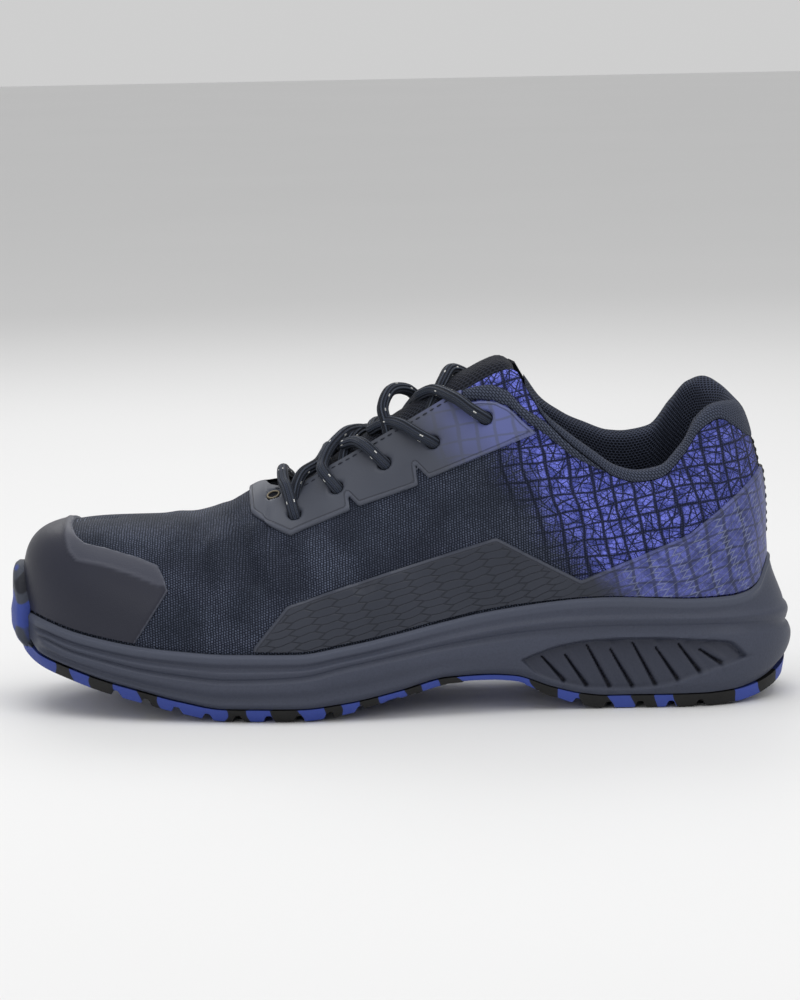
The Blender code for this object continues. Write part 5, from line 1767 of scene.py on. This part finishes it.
def rounded(points, steps, closed=False):
    """More points on a smooth curve through the given ones."""
    found = []
    count = len(points)
    for k in range(count if closed else count - 1):
        if closed:
            a, b, c, d = (points[(k + n) % count] for n in (-1, 0, 1, 2))
        else:
            a, b, c, d = (points[min(max(k + n, 0), count - 1)] for n in (-1, 0, 1, 2))
        for n in range(steps):
            t = n / steps
            found.append(b + 0.5 * t * (
                c - a + t * (2 * a - 5 * b + 4 * c - d + t * (3 * (b - c) + d - a))
            ))
    return found if closed else found + [points[-1]]


def tongue_piece():
    form = Form()
    rings = []
    first, last = at_station(0.2895), at_station(QUARTER_CORNER)
    count = 64
    for k in range(count + 1):
        u = first + (last - first) * k / count
        thickness = TONGUE_THICKNESS * (0.55 + 0.45 * blend(0.30, 0.50, fan(u)[0]))
        close = 1 - math.sqrt(1 - ((k - count + 4) / 4) ** 2) if k > count - 4 else 0.0
        top = rounded(tongue_section(u, 0.0), 5)
        under = rounded(tongue_section(u, thickness), 5)
        ring = []
        for n, place in enumerate(top):
            middle = (place + under[n]) / 2
            bulge = 0.0004 * noise.noise(place * 140)
            place = place.lerp(middle, close * 0.9) + Vector((0, 0, bulge))
            ring.append(form.point(("top", k, n), place, (place.x, place.y, 0)))
        for n in reversed(range(len(under))):
            middle = (top[n] + under[n]) / 2
            place = under[n].lerp(middle, close * 0.9)
            ring.append(form.point(("under", k, n), place, (place.x, place.y, 0)))
        rings.append(ring)
    form.walls(rings)
    form.cap(rings[0])
    form.cap(rings[-1])
    piece = form.build("tongue_pad", [TONGUE_CLOTH], 60)
    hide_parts("tongue")
    return piece


tongue = tongue_piece()

# %% Collar


def collar_section(u, side):
    top = skin(u, side, 1.0)
    out = skin_normal(u, side, 1.0)
    up = (top - skin(u, side, 0.97)).normalized()
    height = COLLAR_ROLL * along(TOP_LINE, fan(u)[0], "roll")
    width = UPPER_WALL + CLEARANCE + COLLAR_PAD_THICKNESS
    span = (top - guides(u, side)[1]).length
    behind = UPPER_WALL + CLEARANCE
    points = [
        top + up * CLEARANCE,
        top + up * (0.30 * height) + out * 0.0007,
        top + up * (0.75 * height) + out * 0.0003,
        top + up * height - out * (0.22 * width),
        top + up * (0.97 * height) - out * (0.50 * width),
        top + up * (0.55 * height) - out * (0.88 * width),
    ]
    for row in PAD:
        v = 1 - row["depth"] * COLLAR_PAD_DEPTH / span
        points.append(offset(u, side, v, -behind - COLLAR_PAD_THICKNESS * row["thick"]))
    for row in reversed(PAD):
        v = 1 - row["depth"] * COLLAR_PAD_DEPTH / span
        points.append(offset(u, side, v, -behind))
    points.append(top + up * CLEARANCE - out * behind)
    return points


def collar_piece():
    form = Form()
    us = [u for u in even_us(0.0014) if u > at_station(COLLAR_START)]
    us = [at_station(COLLAR_START)] + us
    spots = [(u, LATERAL) for u in us] + [(u, MEDIAL) for u in us[-2::-1]]
    rings = []
    run = 0.0
    before = None
    for u, side in spots:
        points = rounded(collar_section(u, side), 4, True)
        if before is not None:
            run += (points[12] - before).length
        before = points[12]
        ring, round_it = [], 0.0
        for k, place in enumerate(points):
            if k:
                round_it += (place - points[k - 1]).length
            ring.append(form.point((u, side, k), place, (run, round_it, 0)))
        rings.append(ring)
    for before, after in zip(rings, rings[1:]):
        for k in range(len(before)):
            slot = 1 if 0 < k <= 12 else 0
            form.quad(before[k - 1], before[k], after[k], after[k - 1], slot)
    form.cap(rings[0], 1)
    form.cap(rings[-1], 1)
    piece = form.build("collar_pad", [MESH_KNIT, BINDING], 70)
    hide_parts("collar")
    return piece


collar = collar_piece()

# %% [markdown]
# ## Lace
#
# One round braided lace, drawn as the strands that show. It comes out of an eyelet,
# goes over the throat's edge and the tongue with a little slack, and goes under the
# film on the other side. Nothing hangs loose: the ends stop at the top eyelets.

# %% Lace strands
# Station, place across and height in millimetres of each strand's middle points.
# A strand starts in its eyelet, named by number and side, and may end in one.
STRANDS = [
    (1, LATERAL, 1, MEDIAL, [(0.361, None, 79.6), (0.355, -13, 85.3), (0.353, -5, 87.7),
                             (0.353, 5, 87.7), (0.355, 13, 85.3), (0.361, None, 79.6)]),
    (2, LATERAL, None, None, [(0.412, None, 87.4), (0.405, -15, 92.2), (0.412, -10, 96.5),
                              (0.424, -5, 100.2), (0.439, 1, 102.6), (0.460, 9, 101.5),
                              (0.474, 14, 96.5), (0.480, 17, 92.5), (0.484, 19, 88.5)]),
    (3, LATERAL, None, None, [(0.466, None, 97.0), (0.447, -14, 100.4), (0.433, -8, 98.4),
                              (0.430, 0, 96.8), (0.434, 8, 95.4), (0.440, 14, 91.5),
                              (0.446, 17, 86.0)]),
    (4, LATERAL, None, None, [(0.531, None, 102.4), (0.513, None, 105.0), (0.493, -15, 107.6),
                              (0.479, -11, 106.2), (0.468, -7, 104.0), (0.474, 2, 105.6), (0.500, 11, 104.5),
                              (0.520, 16, 100.0), (0.530, 18, 96.0)]),
    (5, LATERAL, None, None, [(0.594, None, 111.8), (0.576, None, 115.4), (0.549, -12, 119.2),
                              (0.532, -6, 117.0), (0.526, 0, 114.6), (0.520, 5, 112.0), (0.512, 12, 107.6),
                              (0.508, 16, 101.5), (0.508, 18, 97.0)]),
    (2, MEDIAL, None, None, [(0.422, None, 87.6), (0.419, 16, 92.4), (0.412, 8, 95.6), (0.408, 0, 94.6),
                             (0.399, -8, 91.6), (0.380, -12, 88.6), (0.371, -16, 84.4),
                             (0.367, -19, 79.0)]),
    (4, MEDIAL, None, None, [(0.543, None, 105.2), (0.540, 15, 110.0), (0.528, 9, 113.6), (0.515, 3, 117.6),
                             (0.500, -2, 119.0), (0.489, -6, 117.6), (0.482, -10, 112.5),
                             (0.486, -13, 107.0), (0.490, -16, 101.5), (0.492, -19, 96.0)]),
    (3, MEDIAL, None, None, [(0.480, None, 96.8), (0.474, 16, 100.6), (0.462, 11, 101.8), (0.448, 3, 101.5),
                             (0.438, -4, 98.6), (0.432, -11, 94.0), (0.430, -16, 88.0)]),
    (5, MEDIAL, None, None, [(0.604, None, 114.0), (0.599, 15, 119.0), (0.585, 8, 123.4), (0.569, 1, 125.4),
                             (0.559, -5, 121.8), (0.551, -9, 117.0), (0.542, -13, 111.2),
                             (0.538, -17, 105.0)]),
]


def eyelet_spot(number, side, high):
    u, v = eyelet(number, side)
    return offset(u, side, v, high)


def on_film(station, side, height):
    """The middle of a cord that lies on the film at this place in side view."""
    u, low, high = at_station(station), 0.2, 1.0
    for _ in range(30):
        middle = (low + high) / 2
        low, high = (middle, high) if skin(u, side, middle).z < height else (low, middle)
    return offset(u, side, low, CLEARANCE + FILM_THICKNESS + LACE_DIAMETER / 2 + 0.0002)


def tube(form, name, path, radius):
    """A round cord along a path, with its length and turn as cloth coordinates."""
    sides = 14
    rings = []
    length = 0.0
    across = Vector((0, 1, 0))
    for k, place in enumerate(path):
        ahead, behind = path[min(k + 1, len(path) - 1)], path[max(k - 1, 0)]
        way = (ahead - behind).normalized()
        across = (across - way * across.dot(way)).normalized()
        over = way.cross(across)
        if k:
            length += (place - path[k - 1]).length
        ring = []
        for n in range(sides):
            angle = n / sides * math.tau
            out = across * math.cos(angle) + over * math.sin(angle)
            laid = (length, 2 * abs(n / sides - 0.5), 0)
            ring.append(form.point((name, k, n), place + out * radius, laid))
        rings.append(ring)
    form.walls(rings)
    form.cap(rings[0])
    form.cap(rings[-1])
    return length


def lace_piece():
    form = Form()
    total = 0.0
    for number, strand in enumerate(STRANDS):
        start, side, end, far_side, middle = strand
        points = [eyelet_spot(start, side, -0.0042), eyelet_spot(start, side, 0.0006)]
        for k, (station, across, height) in enumerate(middle):
            if across is None:
                near = side if k < 3 else far_side
                points.append(on_film(station, near, height / 1000))
            else:
                points.append(Vector(((station - 0.5) * SHOE_LENGTH, across / 1000, height / 1000)))
        if end is not None:
            points += [eyelet_spot(end, far_side, 0.0006), eyelet_spot(end, far_side, -0.0042)]
        total += tube(form, number, rounded(points, 8), LACE_DIAMETER / 2)
    print("lace shown:", round(total * 1000), "mm")
    piece = form.build("lace_cord", [CORD], 180)
    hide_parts("lace")
    return piece


lace = lace_piece()

# %% Holes
HOLE_RING = 0.00032


def hole_discs():
    """The inside of each hole, as a thin disc of dark lining laid on the cloth, which is not cut: partly the
    lining behind the hole, partly painted shade in the opening.
    """
    form = Form()
    for side in (LATERAL, MEDIAL):
        for number in range(len(EYELETS)):
            u, v = eyelet(number, side)
            centre, normal = offset(u, side, v, 0.0), skin_normal(u, side, v)
            across = Vector((0, 0, 1)).cross(normal).normalized()
            over = normal.cross(across)
            rings = []
            for reach, high in ((0.4, 0.0001), (1.0, 0.0001), (1.0, 0.0004), (0.4, 0.0004)):
                rings.append([
                    form.point((side, number, reach, high, n), centre + normal * high + (
                        across * math.cos(n / 20 * math.tau) + over * math.sin(n / 20 * math.tau)
                    ) * (EYELET_RADIUS + 0.0001) * reach) for n in range(20)
                ])
            form.walls(rings)
            form.cap(rings[0])
            form.cap(rings[-1])
    return form.build("eyelet_holes", [LINING], 60)


def brass_rings():
    """The empty front eyelets show their lining as a thin ring."""
    form = Form()
    for side in (LATERAL, MEDIAL):
        u, v = eyelet(0, side)
        centre, normal = offset(u, side, v, 0.0009), skin_normal(u, side, v)
        across = Vector((0, 0, 1)).cross(normal).normalized()
        over = normal.cross(across)
        rings = []
        for k in range(33):
            out = across * math.cos(k / 32 * math.tau) + over * math.sin(k / 32 * math.tau)
            rings.append([
                form.point((side, k % 32, n), centre + out * (
                    EYELET_RADIUS - 0.0004 + HOLE_RING * math.cos(n / 8 * math.tau)
                ) + normal * HOLE_RING * math.sin(n / 8 * math.tau)) for n in range(8)
            ])
        form.walls(rings)
    return form.build("eyelet_rings", [BRASS], 180)


holes = hole_discs()
rings = brass_rings()

# %% [markdown]
# ## Stitches
#
# Rows of short stitches hold the throat's edge and the heel tape.
# A row is a curve on the cloth; Geometry Nodes sets one small stitch at each pitch,
# turned along the row, and the result is kept as one plain mesh.

# %% One stitch and its rows
STITCH_PITCH = 0.0030
STITCH_LENGTH = 0.0021
STITCH_INSET = 0.0021
STITCH_LIFT = 0.00005
HEEL_TAPE = 0.0036
SIDE_OUTLINE = above_lip(SIDE_FILM)


def one_stitch():
    """A small rounded stitch that lies along X."""
    form = Form()
    rings = []
    for k in range(7):
        t = -1 + k / 3
        thick = 0.00022 * math.sqrt(max(1.04 - t * t, 0.0)) + 0.00003
        sink = -0.00022 * t * t
        rings.append([
            form.point((k, n), (
                t * STITCH_LENGTH / 2,
                thick * 1.25 * math.cos(n / 8 * math.tau),
                thick * math.sin(n / 8 * math.tau) + sink + 0.00012,
            )) for n in range(8)
        ])
    form.walls(rings)
    form.cap(rings[0])
    form.cap(rings[-1])
    return form.build("stitch", [THREAD_LOOK], 180)


def stitch_nodes():
    """Geometry Nodes: a stitch at every pitch along the curves, turned along them."""
    tree = bpy.data.node_groups.new("stitch rows", "GeometryNodeTree")
    face = tree.interface
    face.new_socket("Geometry", in_out="INPUT", socket_type="NodeSocketGeometry")
    face.new_socket("Stitch", in_out="INPUT", socket_type="NodeSocketObject")
    face.new_socket("Pitch", in_out="INPUT", socket_type="NodeSocketFloat")
    face.new_socket("Thread", in_out="INPUT", socket_type="NodeSocketMaterial")
    face.new_socket("Geometry", in_out="OUTPUT", socket_type="NodeSocketGeometry")

    def add(kind, **settings):
        made = tree.nodes.new(kind)
        for name, value in settings.items():
            setattr(made, name, value)
        return made

    start, end = add("NodeGroupInput"), add("NodeGroupOutput")
    to_curve = add("GeometryNodeMeshToCurve")
    points = add("GeometryNodeCurveToPoints", mode="LENGTH")
    normal = add("GeometryNodeInputNamedAttribute", data_type="FLOAT_VECTOR")
    normal.inputs["Name"].default_value = "out"
    turned = add("FunctionNodeAxesToRotation", primary_axis="Z", secondary_axis="X")
    wiggle = add("FunctionNodeRandomValue", data_type="FLOAT")
    wiggle.inputs[2].default_value = 0.90
    wiggle.inputs[3].default_value = 1.08
    wiggle.inputs["Seed"].default_value = 7
    info = add("GeometryNodeObjectInfo")
    place = add("GeometryNodeInstanceOnPoints")
    real = add("GeometryNodeRealizeInstances")
    paint = add("GeometryNodeSetMaterial")
    links = tree.links
    links.new(start.outputs["Geometry"], to_curve.inputs["Mesh"])
    links.new(to_curve.outputs["Curve"], points.inputs["Curve"])
    links.new(start.outputs["Pitch"], points.inputs["Length"])
    links.new(start.outputs["Stitch"], info.inputs["Object"])
    links.new(points.outputs["Points"], place.inputs["Points"])
    links.new(info.outputs["Geometry"], place.inputs["Instance"])
    links.new(normal.outputs["Attribute"], turned.inputs["Primary Axis"])
    links.new(points.outputs["Tangent"], turned.inputs["Secondary Axis"])
    links.new(turned.outputs["Rotation"], place.inputs["Rotation"])
    links.new(wiggle.outputs[1], place.inputs["Scale"])
    links.new(place.outputs["Instances"], real.inputs["Geometry"])
    links.new(real.outputs["Geometry"], paint.inputs["Geometry"])
    links.new(start.outputs["Thread"], paint.inputs["Material"])
    links.new(paint.outputs["Geometry"], end.inputs["Geometry"])
    return tree


def stitch_rows(name, rows):
    """One mesh of stitches along rows of (place, outward direction)."""
    places, outs, lines = [], [], []
    for row in rows:
        for k, (place, out) in enumerate(row):
            if k:
                lines.append((len(places) - 1, len(places)))
            places.append(place)
            outs.append(out)
    mesh = bpy.data.meshes.new(name + " rows")
    mesh.from_pydata(places, lines, [])
    outward_at = mesh.attributes.new("out", "FLOAT_VECTOR", "POINT")
    outward_at.data.foreach_set("vector", [c for out in outs for c in out])
    guide = bpy.data.objects.new(name + " rows", mesh)
    bpy.context.scene.collection.objects.link(guide)
    setter = guide.modifiers.new("rows", "NODES")
    setter.node_group = STITCH_NODES
    for socket in STITCH_NODES.interface.items_tree:
        if socket.in_out == "INPUT" and socket.name in ("Stitch", "Pitch", "Thread"):
            setter[socket.identifier] = {
                "Stitch": STITCH, "Pitch": STITCH_PITCH, "Thread": THREAD_LOOK,
            }[socket.name]
    bpy.context.view_layer.update()
    graph = bpy.context.evaluated_depsgraph_get()
    made = bpy.data.meshes.new_from_object(guide.evaluated_get(graph))
    guide.modifiers.clear()
    bpy.data.objects.remove(guide)
    piece = bpy.data.objects.new(name, made)
    bpy.context.scene.collection.objects.link(piece)
    made.shade_smooth()
    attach(piece, "root")
    print(name, len(made.polygons), "faces")
    return piece


def row_on(us, side, v_at, high):
    """A row over the last, at a height above the cloth."""
    return [(offset(u, side, v_at(u), high), skin_normal(u, side, v_at(u))) for u in us]


STITCH = one_stitch()
STITCH_NODES = stitch_nodes()
FILM_TOP = CLEARANCE + FILM_THICKNESS


def near_throat(side):
    """A row two millimetres outside the throat's edge."""
    us = [u for u in even_us(0.0012) if 0.345 < fan(u)[0] < 0.572]

    def v_at(u):
        return 1 - STITCH_INSET / climb(u, side)[-1]

    return row_on(us, side, v_at, FILM_TOP + STITCH_LIFT)


def heel_row(side):
    """A row up one edge of the heel tape, on the side film and then on the cloth."""
    u = 1.0
    while abs(edge(u, side).y) < HEEL_TAPE and u > 0.9:
        u -= 0.0005
    found = []
    for k in range(90):
        v = 0.20 + 0.76 * k / 89
        base = skin(u, side, v)
        inside = inside_by(SIDE_OUTLINE, Vector((base.x, base.z)))
        on = FILM_TOP if inside > 0.0008 else 0.0
        found.append((offset(u, side, v, on + STITCH_LIFT), skin_normal(u, side, v)))
    return found


throat_stitches = stitch_rows(
    "throat_stitches", [near_throat(LATERAL), near_throat(MEDIAL)],
)
heel_stitches = stitch_rows("heel_stitches", [heel_row(LATERAL), heel_row(MEDIAL)])
bpy.data.objects.remove(STITCH)

# %% [markdown]
# ## Toe wrap
#
# The tread's rubber wraps up over the toe. It lies on what is behind it, so its
# inner face is found by looking at the midsole, cap and cloth from in front.

# %% Rubber over the toe


def add_toe_wrap(form):
    graph = bpy.context.evaluated_depsgraph_get()
    trees = [BVHTree.FromObject(piece, graph) for piece in (midsole, upper, toe_cap)]
    u = 0.0
    while arc(u, LATERAL) < BUMPER_HALF_WIDTH:
        u += 1e-4
    across, heights = 22, 30
    marks = [(u * k / across, LATERAL) for k in range(across, 0, -1)]
    marks += [(u * k / across, MEDIAL) for k in range(across + 1)]
    seats, rays = [], []
    for at, side in marks:
        share = arc(at, side) / BUMPER_HALF_WIDTH
        low = tread(edge(at, side).x) + 0.0006
        top = BUMPER_TOP - 0.0150 * share**2.6
        column, lines = [], []
        for k in range(heights):
            out = outward(at, side).to_3d()
            origin = rim(at, side, -0.02).to_3d()
            origin.z = low + (top - low) * k / (heights - 1)
            depth = 0.02 + BUMPER_THICKNESS
            hits = [tree.ray_cast(origin, -out)[3] for tree in trees]
            hits = [hit for hit in hits if hit]
            column.append(min(hits) if hits else depth)
            lines.append((origin, out))
        seats.append(column)
        rays.append(lines)

    def nearby(grid, i, k, reach, way):
        near = [
            grid[m][n]
            for m in range(max(i - reach, 0), min(i + reach + 1, len(grid)))
            for n in range(max(k - reach, 0), min(k + reach + 1, heights))
        ]
        return way(near)

    clear = [[nearby(seats, i, k, 2, min) for k in range(heights)] for i in range(len(seats))]
    smooth = [[nearby(clear, i, k, 2, lambda near: sum(near) / len(near)) for k in range(heights)]
              for i in range(len(seats))]
    for i, column in enumerate(rays):
        side_share = abs(2 * i / (len(rays) - 1) - 1)
        for k, (origin, out) in enumerate(column):
            rise = k / (heights - 1)
            edge_far = min((1 - side_share) * 7, (1 - rise) * 6, 1.0)
            thick = BUMPER_THICKNESS * (0.30 + 0.70 * math.sqrt(max(1 - (1 - edge_far) ** 2, 0)))
            inner = origin - out * (smooth[i][k] - 0.0002)
            form.point(("wrap in", i, k), inner - out * 0.0006)
            form.point(("wrap out", i, k), inner + out * (thick + 0.0006))
    last = len(rays) - 1
    index = form.index
    for name in ("wrap in", "wrap out"):
        for i in range(last):
            for k in range(heights - 1):
                form.quad(*(index[(name, m, n)] for m, n in (
                    (i, k), (i + 1, k), (i + 1, k + 1), (i, k + 1))))
    border = [(i, 0) for i in range(last)] + [(last, k) for k in range(heights - 1)]
    border += [(i, heights - 1) for i in range(last, 0, -1)] + [(0, k) for k in range(heights - 1, 0, -1)]
    for a, b in zip(border, border[1:] + border[:1]):
        form.quad(index[("wrap in", *a)], index[("wrap in", *b)],
                  index[("wrap out", *b)], index[("wrap out", *a)])


add_toe_wrap(outsole)
outsole = outsole.build("outsole_rubber", [RUBBER], 40)
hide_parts("outsole")
